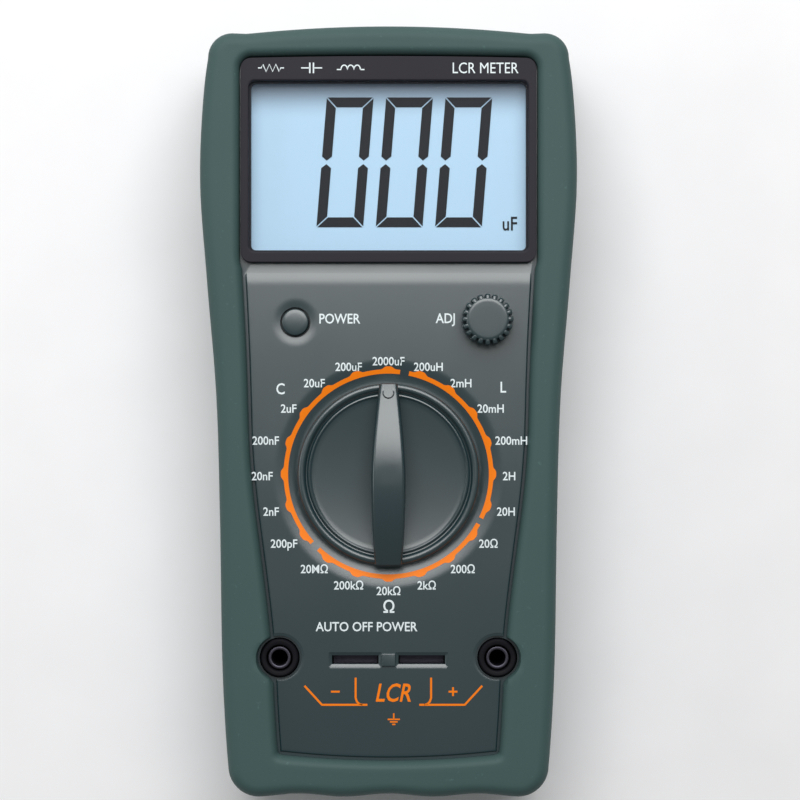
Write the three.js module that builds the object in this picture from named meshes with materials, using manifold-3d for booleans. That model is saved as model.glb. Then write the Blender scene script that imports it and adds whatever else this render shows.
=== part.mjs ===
// Handheld component tester (LCR meter) in a rubber holster, as an assembly of separate pieces.
// Millimetres. It lies on its back: +X right, +Y towards the display end, +Z out of the front panel.
// The origin is the centre of the bounding box's bottom face.
import * as THREE from "three";
import { mergeVertices } from "three/addons/utils/BufferGeometryUtils.js";
import Module from "manifold-3d";

const wasm = await Module();
wasm.setup();

// ---- Driving dimensions ----
const GAP = 0.3; // clearance between pieces that touch
const OVERALL_LENGTH = 190;
const HEAD_WIDTH = 93;
const SHOULDER_NARROWING = 3.4; // each side, from the head's widest point up to the top corners
const FOOT_NARROWING = 2.3; // each side, from the jacks down to the foot
const TOP_ARCH = 1.85;
const TOP_CORNER = 5.6;
const FOOT_CORNER = 7;
const FOOT_SCALLOP = 0.8;
const SCALLOP_SPACING = 22;
const HOLSTER_BACK = 2.5;
const HOLSTER_LIP = 3;
const HOLSTER_WALL = 3;
const EDGE_ROUND = 3.2;
const HEAD_RIM = 10; // width of the holster's front rim beside the display
const PANEL_RIM = 9.6; // beside the top of the panel
const WAIST_RIM = 8.4;
const FOOT_RIM = 13.2;
const TOP_RIM = 7.5;
const BOTTOM_RIM = 9.6;
const RIM_GAP = 0.7; // dark gap between the rim and what stands in it
const RIM_FLARE = 2.4;
const CASE_WALL = 2;
const PANEL_RISE = 1.3; // the panel stands this far above the shoulder under the lip
const SPLIT_Z = 15; // the plane between the two case halves

const BEZEL_HEIGHT = 50.7;
const BEZEL_CORNER = 2.5;
const BEZEL_RISE = 0.6; // above the panel
const WINDOW_SIDE = 2; // bezel width at the sides, foot and top of the window
const WINDOW_FOOT = 2.6;
const WINDOW_TOP = 6;
const WINDOW_CORNER = 1.6;
const BEZEL_WALL = 1.2;
const LENS_LEDGE = 0.4;
const LENS_THICK = 0.8;
const LENS_DEPTH = 0.9; // of the lens below the bezel's face
const PANEL_TO_BEZEL = 0.3;

const BOARD_THICK = 1.6;
const FRONT_SPACE = 3.7; // between the board and the inside of the front wall
const BACKLIGHT_THICK = 1;
const GLASS_THICK = 1;
const ZEBRA_WIDTH = 2;

const DIAL_Y = -15.4; // of the dial's centre
const DIAL_DIAMETER = 44.7;
const DIAL_HEIGHT = 9; // of the pointer bar's crest above the panel
const DIAL_DISH_DIAMETER = 39.1;
const DIAL_RIM_RISE = 1.8; // of the dial's rim above the panel
const BAR_END_RISE = 3.4; // of the pointer bar's two ends above the panel
const DIMPLE = { outer: 1.5, inner: 1.15, deep: 0.3, fromTip: 2.1 }; // the ring in the bar's tip
const DIAL_POSITIONS = 20;
const DIAL_WELL_GAP = 0.4;
const DISH_WIDTH = 5.15; // of the panel's dish round the dial
const DISH_MARGIN = 5.7; // panel left beside the dish at the waist
const DISH_DEPTH = 1.3;
const BUTTON_DISH = { wide: 1.9, deep: 0.5 }; // the panel's dish round the button
const DIAL_WELL_DEPTH = 2.4;
const HUB_RADIUS = 8.5;
const KEY_WIDTH = 5.4;
const BAR_TIP = 4.2;
const BAR_MIDDLE = 7.8;
const BAR_TAIL = 6.4;
const ROTOR_RADIUS = 17;
const ROTOR_THICK = 1.8;
const BALL_RADIUS = 0.75;
const WIPER = { near: 4.5, far: 11.5, half: 0.8 }; // along its radius, and half its width

const POWER_DIAMETER = 6.5;
const POWER_EDGE = 11.7; // from the panel's edge to the button's centre
const POWER_BELOW = 0.6; // of the button's centre below the adjuster's
const CONTROLS_ABOVE_DIAL = 38; // the button and the adjuster above the dial's centre
const POWER_HOLE_GAP = 0.5;
const ADJ_EDGE = 10.4; // from the panel's edge to the adjuster's centre
const ADJ_DIAMETER = 12.6;
const ADJ_TOP_DIAMETER = 9.6;
const ADJ_HEIGHT = 4.6;
const ADJ_TEETH = 20;
const ADJ_SHAFT_RADIUS = 1.5;

const JACK_FROM_FOOT = 34.3; // of the jacks' centres from the holster's end
const JACK_FROM_SIDE = 14.2; // and from the holster's side
const JACK_FROM_SLOT = 12.9; // and from the near end of the component slot
const JACK_DIAMETER = 9.3;
const JACK_WELL = 0.8; // clearance round the jack in the panel and the rim
const JACK_BORE = 4;
const JACK_SLEEVE_DIAMETER = 5.8;
const JACK_LENGTH = 23;
const SLOT_LENGTH = 11.5;
const SLOT_WIDTH = 2.2;
const SLOT_X = 8.2;
const SLOT_CHAMFER = 0.8;
const TILE_WIDTH = 3.5;

const BATTERY = { wide: 26.2, long: 48.5, thick: 17.5 };
const PAD_THICK = 0.6; // of the foam between the battery and the board
const DOOR_THICK = 1.6;
const DOOR_MARGIN = 2.6; // the door reaches this far past the battery opening
const WINDOW_BACK_RIM = 10.5; // width of the holster's back rim at the sides
const WINDOW_BACK_FOOT = 13.8; // and at its foot
const WINDOW_BACK_HEAD = 30; // and at its head
const DOOR_TO_RIM = 1.2; // from the holster's back rim to the door

const STAND_WIDTH = 44;
const STAND_LENGTH = 63;
const STAND_THICK = 2;
const STAND_HINGE_Y = 52;
const STAND_BARREL = 2;
const STAND_PIN = 1;
const FASTENER_EDGE = 7.2; // of the case screws from the case's outer side
const CASE_SCREW = { head: 2.1, headHigh: 1.5, shank: 1.05, long: 19 };
const DOOR_SCREW = { head: 2.4, headHigh: 0.55, shank: 1.1 };
const BOSS_WALL = 1.15;
const FRAME_WALL = 0.7; // of the display's frame

// ---- Levels worked out from them ----
const halfLength = OVERALL_LENGTH / 2;
const headHalf = HEAD_WIDTH / 2;
const rearZ = HOLSTER_BACK + GAP; // back of the rear case
const doorHigh = rearZ + DOOR_THICK;
const batteryLow = doorHigh + GAP;
const boardZ = batteryLow + BATTERY.thick + PAD_THICK + 2 * GAP;
const boardTop = boardZ + BOARD_THICK;
const ceilingZ = boardTop + FRONT_SPACE;
const shoulderZ = ceilingZ + CASE_WALL;
const lipZ = shoulderZ + GAP; // underside of the holster's lip
const holsterDepth = lipZ + HOLSTER_LIP;
const panelZ = shoulderZ + PANEL_RISE;
const bezelZ = panelZ + BEZEL_RISE;
const dialFloor = panelZ - DIAL_WELL_DEPTH;
const dialCeiling = dialFloor - 1.6;
const dialRadius = DIAL_DIAMETER / 2;
const dishOuter = dialRadius + DISH_WIDTH;
const waistHalf = dishOuter + DISH_MARGIN + WAIST_RIM;
const controlsY = DIAL_Y + CONTROLS_ABOVE_DIAL;
const jackY = -halfLength + JACK_FROM_FOOT;
const slotY = jackY - 0.5;
const jackX = SLOT_X + SLOT_LENGTH / 2 + JACK_FROM_SLOT;
const footHalf = jackX + JACK_FROM_SIDE;

// ---- Shapes and solids ----
// A closed three.js geometry as a solid that can be joined and cut.
function solid(geometry) {
  const plain = geometry.index ? geometry.toNonIndexed() : geometry.clone();
  plain.deleteAttribute("normal");
  plain.deleteAttribute("uv");
  const merged = mergeVertices(plain, 1e-4);
  return new wasm.Manifold(
    new wasm.Mesh({
      numProp: 3,
      vertProperties: merged.attributes.position.array,
      triVerts: new Uint32Array(merged.index.array),
    }),
  );
}

const part = new THREE.Group();

// A finished piece: the solid becomes a named mesh with a material of its own.
function piece(name, made, finish) {
  const { vertProperties, triVerts, numProp } = made.getMesh();
  const corners = new Float32Array((vertProperties.length / numProp) * 3);
  for (let i = 0; i < corners.length / 3; i++)
    for (let k = 0; k < 3; k++)
      corners[i * 3 + k] = vertProperties[i * numProp + k];
  const geometry = new THREE.BufferGeometry();
  geometry.setAttribute("position", new THREE.BufferAttribute(corners, 3));
  geometry.setIndex(new THREE.BufferAttribute(new Uint32Array(triVerts), 1));
  geometry.computeVertexNormals();
  const mesh = new THREE.Mesh(geometry, new THREE.MeshStandardMaterial(finish));
  mesh.name = name;
  part.add(mesh);
}

function joined(solids) {
  return solids.reduce((all, one) => all.add(one));
}

function cutBy(body, cutters) {
  return cutters.reduce((left, cutter) => left.subtract(cutter), body);
}

function box(x0, x1, y0, y1, z0, z1) {
  const geometry = new THREE.BoxGeometry(x1 - x0, y1 - y0, z1 - z0);
  geometry.translate((x0 + x1) / 2, (y0 + y1) / 2, (z0 + z1) / 2);
  return solid(geometry);
}

// A box centred on X.
function slab(half, y0, y1, z0, z1) {
  return box(-half, half, y0, y1, z0, z1);
}

function cylinder(radius, x, y, z0, z1, sides = 32) {
  const geometry = new THREE.CylinderGeometry(radius, radius, z1 - z0, sides);
  geometry.rotateX(Math.PI / 2);
  geometry.translate(x, y, (z0 + z1) / 2);
  return solid(geometry);
}

// A cylinder along X.
function rod(radius, x0, x1, y, z, sides = 20) {
  const geometry = new THREE.CylinderGeometry(radius, radius, x1 - x0, sides);
  geometry.rotateZ(Math.PI / 2);
  geometry.translate((x0 + x1) / 2, y, z);
  return solid(geometry);
}

// A closed profile of [radius, z] points, turned about a vertical axis at x, y.
function turned(profile, x, y, sides = 48) {
  const points = profile.map(([r, z]) => new THREE.Vector2(r, z));
  const geometry = new THREE.LatheGeometry(points, sides);
  geometry.rotateX(Math.PI / 2);
  geometry.translate(x, y, 0);
  const made = solid(geometry);
  if (made.volume() > 0) return made;
  return turned([...profile].reverse(), x, y, sides);
}

// How deep a dish round a hole is: steepest at the hole, and level at its outer edge.
function dishFall(radius, inner, outer, depth) {
  const share = Math.min(1, Math.max(0, (outer - radius) / (outer - inner)));
  return depth * share ** 1.25;
}

// A cutter for a hole with a dish round it: from floor up to the face, and on past it.
function dishedHole(inner, outer, depth, floor, face, x, y, sides) {
  const steps = 4;
  const profile = [[0, floor], [inner, floor]];
  for (let i = 0; i <= steps; i++) {
    const radius = inner + ((outer - inner) * i) / steps;
    profile.push([radius, face + 0.02 - dishFall(radius, inner, outer, depth)]);
  }
  return turned([...profile, [outer, face + 2], [0, face + 2]], x, y, sides);
}

function ring(outer, inner, x, y, z0, z1, sides = 32) {
  return cylinder(outer, x, y, z0, z1, sides).subtract(
    cylinder(inner, x, y, z0 - 1, z1 + 1, sides),
  );
}

// A flat outline raised from z0 to z1, with both ends rounded by round.
function raised(shape, z0, z1, round = 0, steps = 3) {
  const geometry = new THREE.ExtrudeGeometry(shape, {
    depth: z1 - z0 - 2 * round,
    bevelEnabled: round > 0,
    bevelThickness: round,
    bevelSize: round,
    bevelOffset: -round,
    bevelSegments: steps,
    curveSegments: 4,
  });
  geometry.translate(0, 0, z0 + round);
  return solid(geometry);
}

// A cutter that follows an outline and widens by flare from z0 up to z1, then goes on past it.
function flared(shape, z0, z1, flare) {
  const geometry = new THREE.ExtrudeGeometry(shape, {
    depth: 4,
    bevelEnabled: true,
    bevelThickness: z1 - z0,
    bevelSize: flare,
    bevelOffset: 0,
    bevelSegments: 1,
    curveSegments: 4,
  });
  geometry.translate(0, 0, z1);
  return solid(geometry);
}

function roundedRectangle(half, y0, y1, corner, x = 0) {
  const shape = new THREE.Shape();
  const r = corner;
  shape.moveTo(x - half + r, y0);
  shape.lineTo(x + half - r, y0);
  shape.absarc(x + half - r, y0 + r, r, -Math.PI / 2, 0, false);
  shape.lineTo(x + half, y1 - r);
  shape.absarc(x + half - r, y1 - r, r, 0, Math.PI / 2, false);
  shape.lineTo(x - half + r, y1);
  shape.absarc(x - half + r, y1 - r, r, Math.PI / 2, Math.PI, false);
  shape.lineTo(x - half, y0 + r);
  shape.absarc(x - half + r, y0 + r, r, Math.PI, Math.PI * 1.5, false);
  return shape;
}

// A coil spring along +Z from z0 to z1.
function coil(radius, wire, x, y, z0, z1, turns, stepsPerTurn = 12) {
  const rise = z1 - z0 - 2 * wire;
  const points = [];
  for (let i = 0; i <= turns * stepsPerTurn; i++) {
    const angle = (i / stepsPerTurn) * 2 * Math.PI;
    const z = z0 + wire + (rise * i) / (turns * stepsPerTurn);
    points.push(
      new THREE.Vector3(
        x + radius * Math.cos(angle),
        y + radius * Math.sin(angle),
        z,
      ),
    );
  }
  return tube(points, wire, turns * stepsPerTurn, 5);
}

// A round wire along a smooth curve through the points.
function tube(points, radius, steps, sides = 8) {
  const section = new THREE.Shape();
  for (let i = 0; i < sides; i++) {
    const angle = (i / sides) * 2 * Math.PI;
    const x = radius * Math.cos(angle);
    const y = radius * Math.sin(angle);
    if (i === 0) section.moveTo(x, y);
    else section.lineTo(x, y);
  }
  section.closePath();
  return solid(
    new THREE.ExtrudeGeometry(section, {
      steps,
      extrudePath: new THREE.CatmullRomCurve3(points),
    }),
  );
}

// ---- Outlines ----
const smooth = (t) => {
  const u = Math.min(1, Math.max(0, t));
  return u * u * (3 - 2 * u);
};

// The holster's half width along Y, through its shoulder, head, waist and foot.
const sideCurve = new THREE.SplineCurve([
  new THREE.Vector2(-halfLength, footHalf - FOOT_NARROWING),
  new THREE.Vector2(-0.86 * halfLength, footHalf - 0.45 * FOOT_NARROWING),
  new THREE.Vector2(jackY, footHalf),
  new THREE.Vector2(DIAL_Y - dialRadius / 2, waistHalf),
  new THREE.Vector2(DIAL_Y + 0.85 * dialRadius, waistHalf + 0.9),
  new THREE.Vector2(0.34 * halfLength, headHalf - 1.7),
  new THREE.Vector2(0.6 * halfLength, headHalf),
  new THREE.Vector2(0.84 * halfLength, headHalf - 0.3 * SHOULDER_NARROWING),
  new THREE.Vector2(halfLength, headHalf - SHOULDER_NARROWING),
]);
const sidePoints = sideCurve.getPoints(96);

function holsterHalf(y) {
  const after = sidePoints.findIndex((p) => p.x >= y);
  if (after === 0) return sidePoints[0].y;
  if (after < 0) return sidePoints[sidePoints.length - 1].y;
  const a = sidePoints[after - 1];
  const b = sidePoints[after];
  return a.y + ((b.y - a.y) * (y - a.x)) / (b.x - a.x);
}

const topEdge = (x) =>
  halfLength - TOP_ARCH * Math.min(1, (x / (headHalf - 11.5)) ** 2);

// Shallow hollows across the foot, one on the centre line and one at each side.
function bottomEdge(x, scallop) {
  const nearest = Math.round(x / SCALLOP_SPACING);
  const off = (x - nearest * SCALLOP_SPACING) / (SCALLOP_SPACING / 2);
  if (Math.abs(nearest) > 1) return -halfLength;
  return -halfLength + (scallop * (1 + Math.cos(Math.PI * off))) / 2;
}

// The body's outline, moved inwards by inset.
function bodyOutline(inset, scallop = 0, steps = 7) {
  const right = [];
  const footR = Math.max(FOOT_CORNER - inset, 1);
  const topR = Math.max(TOP_CORNER - inset, 1);
  const footY = -halfLength + inset + footR;
  const footX = holsterHalf(footY) - inset - footR;
  const topX = holsterHalf(halfLength - TOP_ARCH - inset - topR) - inset - topR;
  const topY = topEdge(topX) - inset - topR;
  for (let i = 0; i < steps; i++) {
    const x = (footX * i) / steps;
    right.push([x, bottomEdge(x, scallop) + inset]);
  }
  const turns = scallop > 0 ? 4 : 3;
  for (let i = 0; i <= turns; i++) {
    const a = -Math.PI / 2 + (Math.PI / 2) * (i / turns);
    right.push([footX + footR * Math.cos(a), footY + footR * Math.sin(a)]);
  }
  for (let i = 1; i < steps; i++) {
    const y = footY + ((topY - footY) * i) / steps;
    right.push([holsterHalf(y) - inset, y]);
  }
  for (let i = 0; i <= turns; i++) {
    const a = (Math.PI / 2) * (i / turns);
    right.push([topX + topR * Math.cos(a), topY + topR * Math.sin(a)]);
  }
  for (let i = 1; i <= steps; i++) {
    const x = topX * (1 - i / steps);
    right.push([x, topEdge(x) - inset]);
  }
  const left = right.slice(1, -1).reverse();
  const all = [...right, ...left.map(([x, y]) => [-x, y])];
  return new THREE.Shape(all.map(([x, y]) => new THREE.Vector2(x, y)));
}

// The display bezel, whose top edge is slightly arched.
const bezelTop = halfLength - TOP_RIM;
const bezelFoot = bezelTop - BEZEL_HEIGHT;
const bezelHalf = headHalf - HEAD_RIM - 0.1;
const windowHalf = bezelHalf - WINDOW_SIDE;
const windowFoot = bezelFoot + WINDOW_FOOT;
const windowTop = bezelTop - WINDOW_TOP;

function bezelOutline(grow) {
  const shape = new THREE.Shape();
  const half = bezelHalf + grow;
  const r = BEZEL_CORNER + grow;
  const foot = bezelFoot - grow;
  const top = bezelTop + grow;
  const sag = 0.5;
  shape.moveTo(-half + r, foot);
  shape.lineTo(half - r, foot);
  shape.absarc(half - r, foot + r, r, -Math.PI / 2, 0, false);
  shape.lineTo(half, top - sag - r);
  shape.absarc(half - r, top - sag - r, r, 0, Math.PI / 2, false);
  shape.quadraticCurveTo(0, top + sag, -half + r, top - sag);
  shape.absarc(-half + r, top - sag - r, r, Math.PI / 2, Math.PI, false);
  shape.lineTo(-half, foot + r);
  shape.absarc(-half + r, foot + r, r, Math.PI, Math.PI * 1.5, false);
  return shape;
}

// The front panel below the bezel: it narrows towards the foot, whose edge is a shallow arc.
const panelTop = bezelFoot - PANEL_TO_BEZEL;
const panelFoot = -halfLength + BOTTOM_RIM;
const FOOT_SAG = 1.5;

function panelHalf(y) {
  const down = smooth((-5 - y) / 62);
  const up = smooth((y + 5) / 42);
  const rim =
    WAIST_RIM +
    (FOOT_RIM - WAIST_RIM) * down +
    (PANEL_RIM - WAIST_RIM) * up;
  return holsterHalf(y) - rim;
}

function panelOutline(grow, steps = 8) {
  const right = [];
  const foot = panelFoot + FOOT_SAG - grow;
  const top = panelTop + grow;
  for (let i = 0; i <= steps; i++) {
    const y = foot + ((top - foot) * i) / steps;
    right.push([panelHalf(y) + grow, y]);
  }
  const footHalf = right[0][0];
  const points = [...right, ...[...right].reverse().map(([x, y]) => [-x, y])];
  const rim = 6;
  for (let i = 1; i < rim; i++) {
    const x = -footHalf + (2 * footHalf * i) / rim;
    points.push([x, foot - FOOT_SAG * (1 - (x / footHalf) ** 2)]);
  }
  return new THREE.Shape(points.map(([x, y]) => new THREE.Vector2(x, y)));
}

const powerY = controlsY - POWER_BELOW;
const powerX = -(panelHalf(powerY) - POWER_EDGE);
const adjX = panelHalf(controlsY) - ADJ_EDGE;
const caseSide = (y) => holsterHalf(y) - HOLSTER_WALL - GAP;
const insideInset = HOLSTER_WALL + GAP + CASE_WALL;

// Places of the case screws: two at the top corners and two at the foot.
const screwTopY = halfLength - 8.3;
const screwFootY = -halfLength + 11.5;
const caseScrews = [
  [-(caseSide(screwTopY) - FASTENER_EDGE), screwTopY],
  [caseSide(screwTopY) - FASTENER_EDGE, screwTopY],
  [-(caseSide(screwFootY) - FASTENER_EDGE + 1), screwFootY],
  [caseSide(screwFootY) - FASTENER_EDGE + 1, screwFootY],
];

// Places of the small screws that hold the board under the front case.
const boardScrewHigh = bezelFoot - 3.4;
const boardScrewLow = DIAL_Y - 28.5;
const boardScrews = [
  [-(caseSide(boardScrewHigh) - 7), boardScrewHigh],
  [caseSide(boardScrewHigh) - 7, boardScrewHigh],
  [-(caseSide(boardScrewLow) - 8.5), boardScrewLow],
  [caseSide(boardScrewLow) - 8.5, boardScrewLow],
];

const screwHeadZ = rearZ + 1.4;
const screwEndZ = screwHeadZ + CASE_SCREW.headHigh + CASE_SCREW.long;
const bossRadius = CASE_SCREW.shank + 0.2 + BOSS_WALL;

// ---- Finishes ----
const finish = (color, roughness, metalness = 0) => ({
  color,
  roughness,
  metalness,
});
const rubberGreen = () => finish(0x4a5f5e, 0.65);
const panelGrey = () => finish(0x55646a, 0.45);
const caseDark = () => finish(0x3c4648, 0.6);
const bezelViolet = () => finish(0x38353d, 0.55);
const black = () => finish(0x17171b, 0.5);
const steel = () => finish(0xb9bcc0, 0.3, 1);
const brass = () => finish(0xc8a862, 0.35, 1);
const nickel = () => finish(0x2e2e32, 0.4, 1);
const boardGreen = () => finish(0x1f5a3a, 0.5);

// ---- Holster ----
function holster() {
  const outside = raised(bodyOutline(0, FOOT_SCALLOP, 12), 0, holsterDepth, EDGE_ROUND, 2);
  const pocket = raised(bodyOutline(HOLSTER_WALL), HOLSTER_BACK, lipZ);
  const openings = [
    raised(bezelOutline(RIM_GAP), lipZ - 1, holsterDepth + 1),
    raised(panelOutline(RIM_GAP), lipZ - 1, holsterDepth + 1),
    flared(bezelOutline(RIM_GAP), lipZ + 0.4, holsterDepth, RIM_FLARE),
    flared(panelOutline(RIM_GAP), lipZ + 1.6, holsterDepth, RIM_FLARE / 2),
  ];
  const jackWells = [-1, 1].map((side) =>
    cylinder(JACK_DIAMETER / 2 + JACK_WELL, side * jackX, jackY, lipZ - 1, holsterDepth + 1),
  );
  const backHalf = waistHalf - WINDOW_BACK_RIM;
  const backWindow = raised(
    roundedRectangle(backHalf, -halfLength + WINDOW_BACK_FOOT, halfLength - WINDOW_BACK_HEAD, 4),
    -1,
    HOLSTER_BACK + 1,
  );
  piece("holster", cutBy(outside, [pocket, ...openings, ...jackWells, backWindow]), rubberGreen());
}

// ---- Case halves ----
function frontCase() {
  const shell = raised(bodyOutline(HOLSTER_WALL + GAP), SPLIT_Z + GAP, shoulderZ);
  const hollow = raised(bodyOutline(insideInset), SPLIT_Z - 1, ceilingZ);
  const plateau = raised(panelOutline(0), shoulderZ - 0.5, panelZ, 0.4, 1);
  const wellLining = cylinder(dialRadius + 3, 0, DIAL_Y, dialCeiling, shoulderZ - 0.2, 40);
  const bosses = caseScrews.map(([x, y]) =>
    cylinder(bossRadius, x, y, SPLIT_Z + GAP, ceilingZ + 0.5, 16),
  );
  const studs = boardScrews.map(([x, y]) =>
    cylinder(2.2, x, y, boardTop + GAP, ceilingZ + 0.5, 14),
  );
  const tile = box(
    -TILE_WIDTH / 2, TILE_WIDTH / 2, jackY - 2.1, jackY + 1.1, panelZ - 0.5, panelZ + 0.3,
  );
  const skirt = slab(
    windowHalf + BEZEL_WALL + 3, windowFoot - BEZEL_WALL - 2, windowTop + BEZEL_WALL + 2,
    ceilingZ, shoulderZ,
  );
  const wall = shell.subtract(hollow);
  const body = joined([wall, plateau, wellLining, ...bosses, ...studs, tile, skirt, detentRing()]);
  piece("front_case", cutBy(body, frontCaseCuts()), panelGrey());
}

function frontCaseCuts() {
  const dish = dishedHole(
    dialRadius + DIAL_WELL_GAP, dishOuter + 0.6, DISH_DEPTH, dialFloor + 0.1, panelZ, 0, DIAL_Y, 36,
  );
  const hubHole = cylinder(HUB_RADIUS + GAP, 0, DIAL_Y, dialCeiling - 1, panelZ, 32);
  const displayHole = raised(
    roundedRectangle(
      windowHalf + BEZEL_WALL + GAP,
      windowFoot - BEZEL_WALL - GAP,
      windowTop + BEZEL_WALL + GAP,
      WINDOW_CORNER + BEZEL_WALL,
    ),
    ceilingZ - 1,
    panelZ + 1,
  );
  const buttonHole = POWER_DIAMETER / 2 + POWER_HOLE_GAP;
  const powerHole = dishedHole(
    buttonHole, buttonHole + BUTTON_DISH.wide, BUTTON_DISH.deep, ceilingZ - 1, panelZ, powerX, powerY, 32,
  );
  const shaftHole = cylinder(ADJ_SHAFT_RADIUS + GAP, adjX, controlsY, ceilingZ - 1, panelZ + 1, 24);
  const jackHoles = [-1, 1].flatMap((side) => [
    cylinder(JACK_DIAMETER / 2 + GAP, side * jackX, jackY, ceilingZ - 1, panelZ + 1, 28),
    cylinder(JACK_DIAMETER / 2 + JACK_WELL, side * jackX, jackY, shoulderZ, panelZ + 1, 28),
  ]);
  const slots = [-1, 1].flatMap((side) => {
    const x = side * SLOT_X;
    const half = SLOT_WIDTH / 2;
    const mouth = new THREE.Shape([
      new THREE.Vector2(x - SLOT_LENGTH / 2, slotY - half),
      new THREE.Vector2(x + SLOT_LENGTH / 2, slotY - half),
      new THREE.Vector2(x + SLOT_LENGTH / 2, slotY + half),
      new THREE.Vector2(x - SLOT_LENGTH / 2, slotY + half),
    ]);
    return [
      raised(mouth, ceilingZ - 1, panelZ + 1),
      flared(mouth, panelZ - SLOT_CHAMFER, panelZ + 0.02, SLOT_CHAMFER),
    ];
  });
  const screwHoles = caseScrews.map(([x, y]) =>
    cylinder(CASE_SCREW.shank + 0.2, x, y, SPLIT_Z - 1, screwEndZ + GAP, 10),
  );
  const studHoles = boardScrews.map(([x, y]) => cylinder(1.1, x, y, boardTop - 1, ceilingZ - 0.6, 12));
  return [
    dish, hubHole, displayHole, powerHole, shaftHole, ...jackHoles, ...slots, ...screwHoles, ...studHoles,
    detentScallops(),
  ];
}

// The ring of clicks that the balls run in, cut on the underside of the dial's well.
const detentCrest = ROTOR_RADIUS + 1.3;

function detentScallops() {
  const cutters = [cylinder(detentCrest, 0, DIAL_Y, dialCeiling - 3, dialCeiling, 32)];
  for (let i = 0; i < DIAL_POSITIONS; i++) {
    const angle = (i / DIAL_POSITIONS) * 2 * Math.PI;
    const x = (detentCrest - 0.3) * Math.cos(angle);
    const y = DIAL_Y + (detentCrest - 0.3) * Math.sin(angle);
    cutters.push(cylinder(0.9, x, y, dialCeiling - 3, dialCeiling - 0.2, 4));
  }
  return joined(cutters);
}

function detentRing() {
  return ring(detentCrest + 2, detentCrest - 0.4, 0, DIAL_Y, dialCeiling - 1.9, dialCeiling + 0.4, 32);
}

function rearCase() {
  const shell = raised(bodyOutline(HOLSTER_WALL + GAP), rearZ, SPLIT_Z, 1.2, 1);
  const hollow = raised(bodyOutline(insideInset), rearZ + CASE_WALL, SPLIT_Z + 3);
  const doorPad = slab(
    doorHalf + 1.8, doorFoot - 1.8, doorTop + 1.8, rearZ + CASE_WALL - 0.5, doorLedge + 1.2,
  );
  const standPad = slab(
    STAND_WIDTH / 2 + 6, STAND_HINGE_Y - 6.5, STAND_HINGE_Y + 6.5, rearZ + CASE_WALL - 0.5, standWell + 1.8,
  );
  const bosses = caseScrews.map(([x, y]) =>
    cylinder(bossRadius + 0.4, x, y, rearZ + 0.5, SPLIT_Z, 16),
  );
  const body = joined([shell.subtract(hollow), doorPad, standPad, ...bosses]);
  const doorBoss = cylinder(2.6, 0, doorScrewY, rearZ + CASE_WALL, doorLedge + 5, 20);
  const cutters = [
    slab(openingHalf, openingFoot, openingTop, rearZ - 1, doorLedge + 3),
    raised(roundedRectangle(doorHalf + GAP, doorFoot - GAP, doorTop + GAP, 1.3), rearZ - 1, doorLedge),
    slab(STAND_WIDTH / 2 + GAP, STAND_HINGE_Y - 4.4, STAND_HINGE_Y + 4.4, rearZ - 1, standWell),
    rod(
      STAND_PIN + GAP, -STAND_WIDTH / 2 - 3, STAND_WIDTH / 2 + 3, STAND_HINGE_Y, standAxisZ,
    ),
    cylinder(1.2 + 0.2, 0, doorScrewY, rearZ - 1, doorLedge + 4.2, 16),
    ...caseScrews.map(([x, y]) => cylinder(CASE_SCREW.shank + 0.3, x, y, rearZ - 1, SPLIT_Z + 1, 10)),
    ...caseScrews.map(([x, y]) =>
      cylinder(CASE_SCREW.head + GAP, x, y, rearZ - 1, screwHeadZ + CASE_SCREW.headHigh + GAP, 14),
    ),
  ];
  piece("rear_case", cutBy(body.add(doorBoss), cutters), caseDark());
}

// ---- Display ----
function display() {
  const skirt = raised(
    roundedRectangle(
      windowHalf + BEZEL_WALL, windowFoot - BEZEL_WALL, windowTop + BEZEL_WALL,
      WINDOW_CORNER + BEZEL_WALL - 0.2,
    ),
    boardTop + 3,
    bezelZ - 0.4,
  );
  const plate = raised(bezelOutline(0), shoulderZ + GAP, bezelZ, 0.4, 1);
  const window = raised(
    roundedRectangle(windowHalf, windowFoot, windowTop, WINDOW_CORNER),
    bezelZ - LENS_DEPTH - LENS_THICK - GAP,
    bezelZ + 1,
  );
  const ledge = raised(
    roundedRectangle(
      windowHalf - LENS_LEDGE, windowFoot + LENS_LEDGE, windowTop - LENS_LEDGE, WINDOW_CORNER,
    ),
    boardTop,
    bezelZ,
  );
  piece("display_bezel", cutBy(plate.add(skirt), [window, ledge]), bezelViolet());
  const lens = raised(
    roundedRectangle(windowHalf - 0.1, windowFoot + 0.1, windowTop - 0.1, WINDOW_CORNER),
    bezelZ - LENS_DEPTH - LENS_THICK,
    bezelZ - LENS_DEPTH,
  );
  piece("display_lens", lens, finish(0xe8f1f6, 0.05));

  const half = windowHalf + 1.9;
  const foot = windowFoot - 1.5;
  const top = windowTop + 1.4;
  const backlightZ = boardTop + GAP;
  const glassZ = backlightZ + BACKLIGHT_THICK + GAP;
  piece("lcd_panel", slab(half, foot, top, glassZ, glassZ + GLASS_THICK), finish(0xbcdcf4, 0.35));
  const stripTop = foot + ZEBRA_WIDTH;
  piece(
    "zebra_strip",
    slab(half - 2, foot + GAP, stripTop, backlightZ, glassZ - GAP),
    finish(0xd8d2d8, 0.8),
  );
  piece(
    "backlight_panel",
    slab(half, stripTop + GAP, top, backlightZ, backlightZ + BACKLIGHT_THICK),
    finish(0xf2f2ee, 0.5),
  );
  const frame = cutBy(
    slab(
      half + GAP + FRAME_WALL, foot - GAP - FRAME_WALL, top + GAP + FRAME_WALL,
      backlightZ, glassZ + GLASS_THICK + 0.1,
    ),
    [slab(half + GAP, foot - GAP, top + GAP, backlightZ - 1, glassZ + 4)],
  );
  piece("lcd_frame", frame, finish(0xd9d9d4, 0.6));
}

// ---- Board and what is soldered to it ----
const powerBody = { low: boardZ - GAP - 10.2, high: boardZ - GAP };
const adjBodyHigh = ceilingZ - GAP;

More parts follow.
